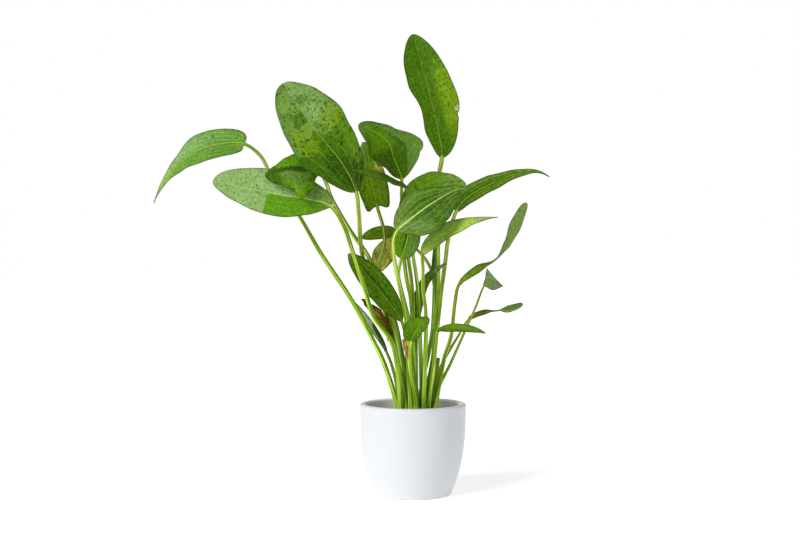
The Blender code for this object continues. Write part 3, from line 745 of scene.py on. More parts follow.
def bladeSurface(leaf, seed):
    # grid over the share along the midrib and the side from -1 to 1: each half turns up by
    # the fold and bends on by the curl; the margin waves, and the base sweeps back in lobes
    line = leafPath(leaf)[1]
    length = lengthOf(line)
    breadth = np.max(leaf["left"]) + np.max(leaf["right"])
    rows = int(np.clip(length / plant["spacing"], 20, 120))
    columns = int(np.clip(breadth / plant["spacing"], 12, 56)) // 2 * 2 + 1
    shares = (1 - np.cos(np.linspace(0, math.pi, rows))) / 2  # closer together at both ends
    center = spread(line, shares)
    tangent = unit(np.gradient(center, shares, axis=0))
    across = unit(np.cross(tangent, alongLeaf(leaf["face"], shares)))
    upward = np.cross(across, tangent)
    share, side = np.meshgrid(shares, np.linspace(-1, 1, columns), indexing="ij")
    reach = np.abs(side)
    left, right = (halfWidths(leaf, key, shares, length)[:, None] for key in ("left", "right"))
    half = np.where(side < 0, left, right)
    bend = np.radians(np.where(side < 0, *leaf["curl"]) + 0.01)  # never 0, because it divides
    first = math.radians(leaf["fold"])
    last = first + bend * reach
    sideways = half / bend * (np.sin(last) - np.sin(first)) * np.sign(side)
    raised = half / bend * (np.cos(first) - np.cos(last))
    swept = leaf["lobe"] * (reach * half / half.max()) ** 2 * (1 - share) ** 6
    grid = (center[:, None] - swept[..., None] * tangent[:, None]
            + sideways[..., None] * across[:, None] + raised[..., None] * upward[:, None])
    # margin waves grow with the width, and dry leaves are creased all over
    along, away = share * length, side * half
    wave = np.sin(2 * math.pi * along / plant["waveLength"] + seed * 1.7 + np.sign(side) * 1.1)
    wave = wave + 0.8 * ripple(along, away, 13.0, seed)
    crease = ripple(along, away, plant["creaseLength"], seed + 50) * np.minimum(half / 3, 1)
    lift = leaf["wave"] * reach ** 2 * np.minimum(half / 10, 1) * wave + leaf["crumple"] * crease
    grid = grid + lift[..., None] * normalsOf(grid)
    return grid, normalsOf(grid), share, side, along, away, half


def makeBlade(name, leaf, seed, material):
    # two skins on either side of the surface, nearer together at the margin; the midrib is a
    # groove above and a rib below that starts as thick as the stalk
    grid, normal, share, side, along, away, half = bladeSurface(leaf, seed)
    reach, fromMidrib, neck = np.abs(side), np.abs(away), leaf["thick"][1] / 2
    near = np.exp(-((along / plant["neckLength"]) ** 2))
    ribHeight = neck * (0.4 * (1 - share) ** 1.3 + 0.6 * near) + 0.05
    rib = ribHeight * np.exp(-((fromMidrib / (0.8 * ribHeight + 0.25)) ** 2))
    between = np.sin(math.pi * reach * leaf["lines"]) ** 2 * (1 - share) * np.minimum(share * 6, 1)
    bulge = leaf["quilting"] * between * np.minimum(half / 8, 1)
    groove = plant["groove"] * (1 - near) * (1 - share) * np.exp(-((fromMidrib / 0.7) ** 2))
    full, edge = plant["thickness"] / 2, plant["marginThickness"] / 2
    skin = edge + (full - edge) * (1 - reach ** 6)
    above = skin + bulge - groove + neck * 0.7 * near * np.exp(-((fromMidrib / neck) ** 2))
    below = skin - bulge * 0.8 + rib
    front, back = grid + above[..., None] * normal, grid - below[..., None] * normal
    place = bothSkins(*(np.stack([share, side, 0 * side + upper], axis=-1) for upper in (1, 0)))
    size = np.stack([along, away, half], axis=-1)
    node, shell = "leaf_" + name + "_blade", closedSkins(front, back)
    values = dict(leafPlace=place, leafSize=bothSkins(size, size))
    addPiece("leaf." + name + ".blade", shell, material, node, values)


def makeStalk(name, leaf, material, node):
    # a ribbed tube from inside the crown into the blade's midrib, wider at its sheathing foot
    stalk, midrib = leafPath(leaf)
    line = np.concatenate([stalk[0] - [(0, 0, depth) for depth in (3.0, 2.0, 1.0)], stalk])
    length = lengthOf(line)
    rows = int(length / plant["stalkSpacing"])
    share = np.linspace(0, 1, rows)
    line, along = spread(line, share), share * length
    foot, top = leaf["thick"]
    radii = (foot + (top - foot) * share) / 2 * (1 + 0.03 * ripple(along, 0 * along, 25.0, rows))
    flare = 1 + plant["sheath"] * np.exp(-((along / plant["sheathHeight"]) ** 2))
    if leaf["midrib"]:
        # more rings run on under the blade and shrink
        more = spread(midrib, np.array([0.4, 1.2, 2.2, 3.4]) / lengthOf(midrib))
        shrunk = top / 2 * np.array([0.98, 0.85, 0.6, 0.3])
    else:
        # a clean cut with a small rounded edge
        more = line[-1:] + (line[-1] - line[-2]) * 0.08
        shrunk = radii[-1:] * 0.8
    line, radii = np.concatenate([line, more]), np.concatenate([radii, shrunk])
    flare = np.concatenate([flare, np.ones(len(more))])
    along = np.concatenate([along, length + np.arange(1, len(more) + 1)])
    rings = tubeRings(line, radii, plant["stalkSides"], plant["stalkRibs"], flare[:, None])
    along, turn = np.meshgrid(along, circle(plant["stalkSides"]), indexing="ij")
    # the fibres' pattern is wound round the tube and starts elsewhere on each stalk
    fibreX, fibreY = plant["fibreTurn"] * np.cos(turn), plant["fibreTurn"] * np.sin(turn)
    size = np.stack([along + 71 * rows, fibreX, fibreY], axis=-1).reshape(-1, 3)
    values = dict(stalkShare=(along / length).ravel(), leafSize=size)
    addPiece(name, closedTube(rings), material, node, values)


# Leaf materials: tissue, zones of other colours, some of them painted sheen and painted shade,
# veins, flecks, margin, and a paler underside

# mist, sage, pale and gray are pale grey-greens; where a zone with gloss lays them on they are
# painted sheen, the broad light's reflection on the glossy upper side, and mist is also the
# underside's own paler tone
leafColors = dict(
    dark=(0.009, 0.042, 0.002), deep=(0.021, 0.088, 0.001),
    moss=(0.035, 0.110, 0.001), green=(0.050, 0.145, 0.001),
    leafy=(0.081, 0.195, 0.002), bright=(0.098, 0.305, 0.001),
    lime=(0.155, 0.290, 0.004), olive=(0.130, 0.185, 0.012),
    mist=(0.098, 0.220, 0.024), sage=(0.168, 0.302, 0.058),
    fresh=(0.098, 0.265, 0.024), spring=(0.130, 0.318, 0.058),
    pale=(0.275, 0.460, 0.150), gray=(0.205, 0.265, 0.100),
    # frost on this line and the pale yellow-green on the next are painted light: lighter than leaf
    # tissue, to lift low_left and mid_right out of the shade they lie in
    silver=(0.260, 0.345, 0.175), frost=(0.680, 0.800, 0.560),
    young=(0.300, 0.530, 0.045), ochre=(0.480, 0.360, 0.035),
    vein=(0.350, 0.520, 0.050), light=(0.520, 0.680, 0.150),
    straw=(0.760, 0.700, 0.140), brown=(0.190, 0.070, 0.014),
    umber=(0.060, 0.020, 0.006), rim=(0.040, 0.052, 0.008),
    white=(0.480, 0.560, 0.330),
)
leafFinish = dict(
    roughness=0.45, specular=0.03, coat=0.01, coatRoughness=0.30, bump=0.35, relief=0.00025,
    glow=0.10,  # share of the light that goes through the blade
    within=0.35,  # how far that light takes the colour of the leaf's inside
    underside=0.40, margin=0.60, net=0.12, cross=0.16, fleckShade=0.82,
)

# Colours of each leaf: tissue from and to, how strong its veins and midrib are, its flecks as
# density, size and length, and zones of (colour, share along, side, half length, half width,
# softness, raggedness, strength, gloss, power of the oval), the last two left out where they
# are 0 and 3; there are no flecks in the clear zone. A zone with gloss is painted sheen: the
# broad light's reflection on the glossy upper side, laid on as a pale colour
leafLooks = {
    "top": dict(
        tissue=("green", "green"), veins=0.12, midrib=0.4, flecks=(0.7, 1.2, 1.6),
        zones=[
            ("lime", 0.45, 0.85, 0.28, 0.42, 0.25, 0.6, 0.85),
            ("lime", 0.5, 0.45, 0.16, 0.2, 0.6, 0.9, 0.35),
            ("deep", 0.9, -0.3, 0.2, 0.6, 0.5, 0.4, 0.35),
            ("deep", 0.05, 0.2, 0.12, 0.9, 0.5, 0.3, 0.35),
            ("white", 0.345, 0.97, 0.02, 0.18, 0.3, 0.5, 0.85),
        ],
    ),
    "upper_left": dict(
        tissue=("green", "leafy"), veins=0.26, midrib=0.5, flecks=(1.0, 1.9, 1.9),
        clear=(0.08, -1.0, 0.39, 0.49),
        zones=[
            ("deep", 0.3, 0.15, 0.14, 0.85, 0.5, 0.9, 0.7),
            ("dark", 0.02, 0.35, 0.21, 0.95, 0.35, 0.3, 1.0),
            ("dark", 0.19, -0.2, 0.14, 0.4, 0.5, 0.8, 0.6),
            # the mist, sage and pale zones with gloss over the upper half are painted sheen
            ("mist", 0.98, 0.0, 0.44, 1.4, 0.05, 0.55, 1.0, 0.3),
            ("mist", 0.62, -0.85, 0.17, 0.3, 0.2, 0.7, 0.9, 0.25),
            ("sage", 0.76, 0.15, 0.2, 0.75, 0.3, 1.6, 0.7, 0.1),
            ("pale", 0.66, 0.1, 0.05, 0.3, 0.5, 1.2, 0.3, 0.1),
            ("lime", 0.52, -0.5, 0.11, 0.36, 0.3, 1.3, 0.7),
            ("leafy", 0.35, 0.75, 0.16, 0.25, 0.4, 0.9, 0.7, 0.1),
            ("green", 0.81, 0.24, 0.038, 0.2, 0.2, 1.0, 0.95),
            ("green", 0.68, -0.26, 0.055, 0.32, 0.2, 1.1, 0.95),
            ("lime", 0.575, 0.55, 0.065, 0.36, 0.25, 1.0, 0.6),
            ("moss", 0.08, -1.0, 0.38, 0.48, 0.02, 0.03, 1.0),
            ("deep", 0.0, -0.4, 0.22, 0.9, 0.5, 0.3, 0.6),
        ],
    ),
    "far_left": dict(
        tissue=("fresh", "fresh"), vein="light", veins=0.36, midrib=0.5, flecks=(0.06, 1.2, 1.6),
        zones=[
            ("spring", 0.65, 0.7, 0.5, 0.6, 0.5, 0.3, 0.9, 0.2),
            ("sage", 0.78, 0.9, 0.3, 0.35, 0.4, 0.3, 0.7, 0.2),
            ("gray", 1.0, 0, 0.13, 2, 0.5, 0.1, 0.8),
        ],
    ),
    "mid_left": dict(
        # the pale tissue is painted sheen over the whole upper side, and the bright zone with its
        # sharp edge is where that sheen is cut off
        tissue=("pale", "pale"), vein="light", rib=0.75, veins=0.22, midrib=0.8,
        flecks=(0.3, 1.1, 1.5), clear=(0.27, -0.6, 0.29, 0.57),
        zones=[
            ("mist", 0.04, 0.6, 0.22, 0.8, 0.4, 0.3, 0.8, 0.1),
            ("sage", 0.9, 0.3, 0.25, 0.6, 0.6, 0.4, 0.3, 0.3),
            ("bright", 0.27, -0.62, 0.27, 0.57, 0.015, 0.03, 1.0, 0, 14.0),
            ("green", 0.05, -0.5, 0.1, 0.5, 0.5, 0.1, 0.5),
        ],
    ),
    "folded": dict(
        tissue=("green", "leafy"), veins=0.1, midrib=0.1, flecks=(0.85, 1.4, 1.6),
        zones=[
            # the bright right half is painted light shining through the blade, the mist on the
            # left half painted sheen, and the dark band beside the midrib along the crease painted
            # shade
            ("bright", 0.35, 0.5, 0.5, 0.45, 0.15, 0.1, 0.9),
            ("mist", 0.48, -0.45, 0.24, 0.33, 0.3, 0.7, 0.9, 0.3),
            ("bright", 0.3, -0.85, 0.3, 0.22, 0.3, 0.3, 0.75),
            ("dark", 0.45, -0.08, 0.6, 0.12, 0.6, 0.3, 0.9),
            ("deep", 0.93, -0.1, 0.16, 1.4, 0.25, 0.1, 0.85),
        ],
    ),
    "cupped": dict(
        tissue=("green", "leafy"), veins=0.22, midrib=0.85, flecks=(0.14, 1.3, 1.5),
        zones=[
            ("bright", 0.68, -0.2, 0.2, 0.5, 0.6, 0.5, 0.6),
            ("mist", 1.0, -0.1, 0.16, 1.2, 0.5, 0.4, 0.8, 0.2),
            ("mist", 0.42, 0.8, 0.36, 0.4, 0.08, 0.05, 0.95, 0.3),
            ("deep", 0.2, -0.4, 0.22, 0.6, 0.7, 0.4, 0.8),
            ("deep", 0.38, 0.36, 0.3, 0.08, 0.7, 0.1, 0.8),
        ],
    ),
    "inner_left": dict(
        tissue=("leafy", "leafy"), veins=0.2, midrib=0.45, flecks=(0.45, 1.3, 1.6),
        zones=[
            ("lime", 0.38, 0.1, 0.4, 0.7, 0.5, 0.6, 0.75),
            ("sage", 0.8, -0.7, 0.3, 0.5, 0.3, 0.3, 0.8, 0.2),
            ("straw", 0.62, 0.8, 0.09, 0.35, 0.4, 0.5, 0.6),
            ("brown", 0.6, 0.78, 0.03, 0.16, 0.3, 0.4, 0.95),
        ],
    ),
    "edge_on": dict(
        tissue=("green", "leafy"), veins=0.12, midrib=0.2, flecks=(0.15, 1.2, 1.5),
        zones=[
            ("mist", 0.65, -0.55, 0.35, 0.25, 0.5, 0.4, 0.8, 0.2),
            ("dark", 0.2, 0.2, 0.3, 0.7, 0.6, 0.2, 0.5),
        ],
    ),
    "front_center": dict(
        tissue=("moss", "green"), vein="light", rib=0.85, veins=0.24, midrib=1.0,
        flecks=(0.1, 1.4, 1.6),
        zones=[
            ("sage", 0.05, -0.3, 0.2, 0.9, 0.5, 0.4, 0.35, 0.25),
            ("mist", 0.35, -0.75, 0.25, 0.3, 0.4, 0.4, 0.4, 0.2),
            ("deep", 0.78, 0.6, 0.28, 0.45, 0.5, 0.4, 0.85),
            ("mist", 0.3, 0.6, 0.12, 0.4, 0.5, 0.4, 0.5, 0.1),
            # the long narrow dark bands beside the midrib and between the veins are painted shade
            ("deep", 0.62, 0.16, 0.34, 0.13, 0.7, 0.2, 1.0),
            ("deep", 0.62, -0.42, 0.34, 0.13, 0.7, 0.2, 0.9),
            ("deep", 0.8, -0.08, 0.2, 0.1, 0.7, 0.2, 0.5),
        ],
    ),
    "behind_center": dict(
        tissue=("leafy", "leafy"), veins=0.28, midrib=0.5, flecks=(0.15, 1.4, 1.6),
        zones=[
            ("mist", 0.12, 0, 0.25, 1.2, 0.4, 0.3, 0.7, 0.2),
            ("sage", 0.95, -0.3, 0.25, 1.2, 0.3, 0.2, 0.6, 0.2),
            ("bright", 0.5, -0.3, 0.2, 0.4, 0.5, 0.3, 0.4),
            ("green", 0.55, 0.4, 0.4, 0.4, 0.6, 0.3, 0.6),
            ("moss", 0.82, -0.35, 0.03, 0.12, 0.4, 0.3, 0.7),
            ("dark", 0.42, -0.55, 0.018, 0.22, 0.5, 0.4, 0.8),
        ],
    ),
    "far_right": dict(
        tissue=("moss", "green"), veins=0.4, midrib=0.6, flecks=(0.12, 1.3, 1.6),
        zones=[
            ("mist", 0.55, -0.8, 0.55, 0.3, 0.4, 0.3, 0.8, 0.2),
            ("leafy", 0.5, 0.75, 0.5, 0.4, 0.4, 0.3, 0.6, 0.1),
            ("umber", 1.0, 0, 0.08, 2, 0.4, 0, 0.7),
        ],
    ),
    "mid_right": dict(
        # its pale yellow-green tissue is painted light, lighter than the leaf is, lifting it out
        # of the shade that falls on it
        tissue=("young", "young"), vein="light", veins=0.3, midrib=0.7, flecks=(0.05, 1.3, 1.6),
        zones=[
            ("lime", 0.35, -0.3, 0.4, 0.5, 0.5, 0.3, 0.4),
            ("sage", 0.5, -0.75, 0.5, 0.3, 0.4, 0.2, 0.6, 0.2),
            ("gray", 1.0, 0, 0.24, 2, 0.4, 0, 0.95),
        ],
    ),
    "twisted": dict(
        tissue=("olive", "lime"), veins=0.45, midrib=0.6, flecks=(0.05, 1.3, 1.6),
        zones=[
            ("gray", 0.8, 0.0, 0.38, 1.5, 0.25, 0.3, 0.75, 0.2),
            ("lime", 0.75, 0.05, 0.25, 0.3, 0.6, 0.3, 0.6),
            ("lime", 0.12, 0.0, 0.25, 1.2, 0.5, 0.3, 0.5),
        ],
    ),
    "fan": dict(
        tissue=("silver", "silver"), veins=0.1, midrib=0.9, flecks=(0.1, 1.3, 1.6),
        zones=[
            ("lime", 0.35, 0.0, 0.4, 0.35, 0.6, 0.3, 0.7),
        ],
    ),
    "low_right": dict(
        tissue=("olive", "green"), veins=0.15, midrib=0.4, flecks=(0.3, 1.2, 1.6),
        zones=[
            ("gray", 0.85, 0, 0.34, 1.5, 0.3, 0.5, 0.75, 0.2),
            ("deep", 0.8, 0.3, 0.2, 0.4, 0.6, 0.5, 0.7),
        ],
    ),
    "low_front_right": dict(
        tissue=("green", "leafy"), veins=0.15, midrib=0.35, flecks=(0.08, 1.3, 1.6),
        zones=[
            ("mist", 0.75, -0.2, 0.3, 0.7, 0.5, 0.3, 0.5, 0.2),
            ("lime", 0.3, -0.4, 0.3, 0.5, 0.6, 0.3, 0.3),
        ],
    ),
    "hanging": dict(
        tissue=("green", "green"), veins=0.14, midrib=0.4, flecks=(0.7, 1.5, 1.5),
        zones=[
            ("leafy", 0.4, -0.5, 0.4, 0.5, 0.5, 0.4, 0.7),
            ("dark", 0.5, 0.14, 0.4, 0.12, 0.7, 0.3, 0.7),
            ("leafy", 0.85, -0.6, 0.2, 0.5, 0.5, 0.5, 0.7),
            ("gray", 0.985, -0.2, 0.03, 0.9, 0.4, 0.2, 0.7),
        ],
    ),
    "dry_rolled": dict(
        tissue=("umber", "brown"), veins=0.25, midrib=0.3, flecks=(0.6, 1.2, 1.6), vein="ochre",
        under="brown",
        zones=[
            ("ochre", 0.45, 0.1, 0.5, 0.22, 0.5, 1.4, 0.6),
            ("umber", 0.5, -0.5, 0.4, 0.5, 0.6, 1.0, 0.7),
            ("ochre", 0.02, 0, 0.12, 1.5, 0.5, 0.6, 0.7),
            ("umber", 0.95, 0, 0.1, 1.5, 0.4, 0.8, 0.8),
        ],
    ),
    "low_left": dict(
        # the frost tissue is painted light, far paler than leaf tissue, lifting this leaf out of
        # the shade it lies in
        tissue=("frost", "frost"), veins=0.1, midrib=0.25, flecks=(0.2, 1.3, 1.6),
        zones=[
            ("mist", 0.75, 0.7, 0.3, 0.4, 0.5, 0.3, 0.4, 0.2),
            ("deep", 0.12, 0.65, 0.36, 0.62, 0.12, 0.1, 1.0),
            ("green", 0.05, -0.5, 0.15, 0.7, 0.6, 0.1, 0.8),
        ],
    ),
    "low_front": dict(
        tissue=("green", "green"), veins=0.12, midrib=0.3, flecks=(0.08, 1.3, 1.6),
        zones=[
            ("deep", 0.15, 0.0, 0.2, 0.5, 0.6, 0.3, 0.4),
            ("leafy", 0.6, -0.5, 0.3, 0.5, 0.5, 0.2, 0.7),
        ],
    ),
    "yellowing": dict(
        tissue=("straw", "ochre"), veins=0.95, midrib=0.9, rib=0.8, flecks=(0.9, 1.3, 2.6),
        vein="straw", under="straw", fleck="umber",
        zones=[
            ("lime", 0.25, -0.3, 0.3, 0.6, 0.5, 0.9, 0.7),
            ("brown", 0.5, 0.5, 0.45, 0.45, 0.6, 1.2, 0.3),
            ("umber", 0.4, 0.95, 0.35, 0.16, 0.4, 0.6, 0.95),
        ],
    ),
    "dark_back": dict(
        tissue=("lime", "leafy"), veins=0.12, midrib=0.25, flecks=(0.15, 1.3, 1.6),
        zones=[
            ("sage", 0.35, 0.7, 0.2, 0.25, 0.5, 0.6, 0.7, 0.2),
        ],
    ),
    "under_center": dict(
        tissue=("leafy", "green"), veins=0.2, midrib=0.8, flecks=(0.06, 1.3, 1.6),
        zones=[
            ("bright", 0.35, -0.65, 0.45, 0.35, 0.3, 0.1, 0.6),
            ("dark", 0.6, -0.12, 0.4, 0.09, 0.6, 0.1, 0.8),
            ("mist", 0.5, 0.6, 0.6, 0.45, 0.3, 0.2, 0.8, 0.2),
        ],
    ),
    "narrow_inner": dict(
        tissue=("green", "green"), veins=0.12, midrib=0.3, flecks=(0.06, 1.3, 1.6),
        zones=[
            ("gray", 1.0, 0, 0.22, 2, 0.4, 0, 0.8),
        ],
    ),
    "narrow_back": dict(
        tissue=("deep", "green"), veins=0.12, midrib=0.25, flecks=(0.08, 1.3, 1.6),
        zones=[],
    ),
}


def leafMaterial(name, look, seed, lines):
    # zones, veins, flecks, midrib and margin, each laid over the tissue by its mask; among the
    # zones are painted sheen and painted shade
    material, tree = newMaterial("leaf." + name)
    place, size = attribute(tree, "leafPlace"), attribute(tree, "leafSize")

    def zone(along, across, length, width, **edge):
        return use(zoneGroup, place=place, size=size, along=along, across=across, length=length,
                   width=width, **edge)["zone"]

    def layered(color, mask, strength, shade):
        return blend(mask * strength, color, leafColors[shade])

    tissue = use(tissueGroup, size=size, seed=seed)
    color = blend(tissue["mottle"], *(leafColors[shade] for shade in look["tissue"]))
    coat = leafFinish["coat"]
    for number, values in enumerate(look["zones"]):
        shade, along, across, length, width, soft, ragged, strength, *more = values
        gloss, power = more + [0.0, 3.0][len(more):]
        mask = zone(along, across, length, width, soft=soft, ragged=ragged, power=power,
                    seed=seed + number)
        color = layered(color, mask, strength, shade)
        # a zone with gloss is painted sheen: its pale colour stands for the broad light's
        # reflection, and the coat adds gloss there as well
        if gloss:
            coat = mask * gloss + coat
    veins = use(veinsGroup, place=place, size=size, lines=lines, seed=seed,
                midribWidth=look.get("rib", 0.55))
    vein = look.get("vein", "vein")
    color = layered(color, veins["net"], leafFinish["net"], vein)
    color = layered(color, veins["cross"], leafFinish["cross"], vein)
    color = layered(color, veins["veins"], look["veins"], vein)
    density, fleck, long = look["flecks"]
    drops = use(specklesGroup, size=size, seed=seed * 3.7, density=density, fleck=fleck, long=long)
    dashes = use(specklesGroup, size=size, seed=seed * 5.1 + 9, density=density * 0.8,
                 fleck=fleck * 0.8, long=long * 1.5, slant=0.95)
    flecks = calc("MAXIMUM", drops["spots"], dashes["spots"])
    if "clear" in look:
        flecks = flecks * (1.0 - zone(*look["clear"], soft=0.05))
    color = layered(color, flecks, leafFinish["fleckShade"], look.get("fleck", "dark"))
    color = layered(color, veins["midrib"], look["midrib"], vein)
    color = layered(color, veins["margin"], leafFinish["margin"], "rim")
    under = 1.0 - split(place)[2]
    color = layered(color, under, leafFinish["underside"], look.get("under", "mist"))
    grain = (tissue["grain"] * 0.7 + 0.65) * ease(tissue["patches"], 0.3, 0.7, 0.80, 1.20)
    grain = put("CombineColor", {0: grain, 1: grain, 2: grain})[0]
    color = blend(1.0, color, grain, "MULTIPLY")
    relief = tissue["grain"] - veins["cross"] * 0.35 - veins["net"] * 0.3 - veins["veins"] * 0.9
    rough = tissue["grain"] * 0.2 + (leafFinish["roughness"] - 0.1)
    shader, bump = shaded(color, rough, relief, leafFinish, coat)
    within = blend(leafFinish["within"], color, leafColors[look.get("under", "lime")])
    through = put("BsdfTranslucent", {"Color": within, "Normal": bump})[0]
    return finished(material, shader, through, leafFinish["glow"])


stalkLook = dict(
    foot=(0.42, 0.66, 0.05), middle=(0.28, 0.49, 0.005), top=(0.27, 0.36, 0.012),
    # the dark streak colour is fibre lines and painted shade along the stalk's sides; the light
    # colour is painted highlight lines
    streak=(0.05, 0.15, 0.001), light=(0.68, 0.90, 0.20), scar=(0.14, 0.09, 0.02),
    stretch=(0.03, 1.0, 1.0),  # fibres run lengthwise
    roughness=0.42, specular=0.08, coat=0.14, coatRoughness=0.20, bump=0.4, relief=0.0003,
    glow=0.05,
)


def makeStalkMaterial():
    # pale at the foot, green above, with lengthwise fibres whose pattern also lays on painted
    # highlight lines and painted side shade, and a few scars
    material, tree = newMaterial("stalk.green")
    share, size = attribute(tree, "stalkShare", "Fac"), attribute(tree, "leafSize")
    lengthwise = combine("MULTIPLY", size, stalkLook["stretch"])
    fibres, fine = noise(lengthwise, 1.0), noise(lengthwise, 3.5, 2.0)
    color = blend(ease(share, 0.0, 0.35), stalkLook["foot"], stalkLook["middle"])
    color = blend(ease(share, 0.35, 0.85), color, stalkLook["top"])
    # dark lengthwise streaks: fibre lines and painted side shade
    color = blend(ease(fibres, 0.50, 0.60, 0.0, 0.85), color, stalkLook["streak"])
    # pale lengthwise lines: painted highlights
    color = blend(ease(fibres, 0.46, 0.36, 0.0, 0.75), color, stalkLook["light"])
    color = blend(ease(fine, 0.55, 0.75, 0.0, 0.4), color, stalkLook["streak"])
    color = blend(ease(noise(size, 0.07), 0.60, 0.72, 0.0, 0.5), color, stalkLook["scar"])
    shader, bump = shaded(color, stalkLook["roughness"], fibres, stalkLook, stalkLook["coat"])
    through = put("BsdfTranslucent", {"Color": color, "Normal": bump})[0]
    return finished(material, shader, through, stalkLook["glow"])


stalkMaterial = makeStalkMaterial()
for number, (leafName, given) in enumerate(leaves.items()):
    leaf = {**usual, **given}
    bladeMaterial = leafMaterial(leafName, leafLooks[leafName], number, leaf["lines"])
    makeBlade(leafName, leaf, number, bladeMaterial)
    makeStalk("leaf." + leafName + ".stalk", leaf, stalkMaterial, "leaf_" + leafName + "_stalk")
makeStalk("cut.stalk", {**usual, **cutStalk}, stalkMaterial, "cut_stalk")
print("leaves:", len(leaves), "blades and stalks")


# Pot, bed and crown: profiles turned about the upright axis

capRadius = 4.0  # of the flat round that closes a turned profile
peakRadius = 0.5  # of the one on top of the bed and the crown

potShape = dict(
    height=64.0, rimRadius=37.5, baseRadius=26.7, bellyPower=2.8, wall=4.0, floor=4.5,
    lip=1.6, foot=2.0, steps=160,
)
potGlaze = dict(
    # the inside colour is painted near white: painted light where the pot's inside lies in shade
    glaze=(0.625, 0.640, 0.660), thin=(0.600, 0.620, 0.645), inside=(0.94, 0.92, 0.97),
    speck=(0.42, 0.42, 0.42), bare=(0.50, 0.45, 0.38),
    cloudScale=22.0, poreScale=420.0, speckScale=260.0, speckShare=0.07, speckStrength=0.35,
    insideRadius=0.0350, insideHeight=0.044,  # metres, as Object coordinates are
    roughness=0.30, bareRoughness=0.85, specular=0.4, coat=0.15, coatRoughness=0.2,
    bump=0.10, relief=0.0006,
)


def potRadius(height):
    # R - (R - r) s^2.8 at the share s of the way down: it turns in towards the bottom
    top, rim, base = potShape["height"], potShape["rimRadius"], potShape["baseRadius"]
    return rim - (rim - base) * ((top - height) / top) ** potShape["bellyPower"]


def arc(center, radius, start, end, count):
    angles = np.radians(np.linspace(start, end, count))
    return center + radius * np.column_stack([np.cos(angles), np.sin(angles)])


def makeGlaze():
    # satin with faint clouds and a few specks, the inside painted far paler than the outside
    # as painted light against the shade in the pot, and bare clay under the foot
    material, tree = newMaterial("pot.glaze")
    where = put("TexCoord", tree=tree)["Object"]
    cloud, pores = noise(where, potGlaze["cloudScale"]), noise(where, potGlaze["poreScale"], 2.0)
    cells = cellsOf(where, potGlaze["speckScale"])
    chance = put("SeparateColor", {0: cells["Color"]})[0]
    chosen = calc("GREATER_THAN", chance, 1 - potGlaze["speckShare"])
    specks = ease(cells["Distance"], 0.05, 0.11, 1.0, 0.0) * chosen
    height, flat = split(where)[2], combine("MULTIPLY", where, (1.0, 1.0, 0.0))
    fromAxis = put("VectorMath", {0: flat}, operation="LENGTH")["Value"]
    near, high = potGlaze["insideRadius"], potGlaze["insideHeight"]
    inside = ease(fromAxis, near, near + 0.0012, 1.0, 0.0) * ease(height, high, high + 0.002)
    bare = ease(height, 0.0001, 0.0007, 1.0, 0.0)
    color = blend(ease(cloud, 0.3, 0.7), potGlaze["glaze"], potGlaze["thin"])
    # painted light: the inside wall far paler than the outside glaze
    color = blend(inside, color, potGlaze["inside"])
    color = blend(specks * potGlaze["speckStrength"], color, potGlaze["speck"])
    color = blend(bare, color, potGlaze["bare"])
    rough = cloud * 0.12 + potGlaze["roughness"]
    rough = calc("MAXIMUM", rough, bare * potGlaze["bareRoughness"])
    shader, bump = shaded(color, rough, pores * 0.25 + cloud, potGlaze, potGlaze["coat"])
    return finished(material, shader)


def makePot():
    # up the inside, over the rounded lip, down the outside to the rounded foot
    top, lip, foot, wall = (potShape[key] for key in ("height", "lip", "foot", "wall"))
    floor, hollow = potShape["floor"], 2 * foot  # the floor runs into the wall in a wider curve
    inner = np.linspace(floor + hollow, top - lip, 26)[1:]
    outer = np.linspace(top - lip, foot, 44)
    rim, corner = potRadius(top - lip), potRadius(floor + hollow) - wall - hollow
    profile = np.concatenate([
        [(capRadius, floor)],
        arc((corner, floor + hollow), hollow, -90, 0, 9),
        np.column_stack([potRadius(inner) - wall, inner]),
        arc((rim - wall + lip, top - lip), lip, 175, 90, 9),
        arc((rim - lip, top - lip), lip, 88, 5, 9),
        np.column_stack([potRadius(outer), outer]),
        arc((potRadius(foot) - foot, foot), foot, -10, -90, 8),
        [(capRadius, 0.0)],
    ])
    shell = closedTube(turned(profile, potShape["steps"]))
    addPiece("pot.body", shell, makeGlaze(), "pot")


makePot()
print("pot")


# Growing medium: an uneven bed with loose granules, the crown with its old sheaths, and roots

bedShape = dict(
    top=49.0, crowning=1.2, clear=0.6, steps=96, unevenness=0.5, sunk=0.5,
    grains=1150, grainRadius=(0.8, 1.5), grainReach=32.2,
    grainSink=0.3, fallRadius=33.0,  # how deep they lie, and where the bed's crowning ends
    grainFree=12.5,  # none lie nearer to the crown's middle
    underside=0.3, taper=5.0,  # over the pot's floor, and how far the side turns in to it
    dark=(0.012, 0.009, 0.007), light=(0.060, 0.040, 0.026),
    roughness=0.85, specular=0.3, bump=0.7, relief=0.0004,
)
crownShape = dict(
    radius=17.0, height=4.0, bottom=50.5, steps=72, unevenness=0.45,
    sheaths=30, sheathTurn=0.381966,  # of a whole turn from each to the next
    sheathReach=(9.5, 16.0), sheathHeight=(3.5, 8.5), sheathWidth=(1.6, 2.6),
    sheathLean=(0.1, 0.5), sheathThickness=0.32,
    roots=16, rootSides=7, rootRadius=0.5, rootStart=15.5,
    rootReach=(6.0, 13.0), shortReach=(4.0, 9.0),  # the short ones where the pot is nearer
    flesh=(0.22, 0.26, 0.07), fibre=(0.10, 0.055, 0.02), pale=(0.42, 0.36, 0.20),
    dry=(0.42, 0.26, 0.06), dryDark=(0.17, 0.06, 0.015),
    roughness=0.62, specular=0.3, bump=0.6, relief=0.0004,
)
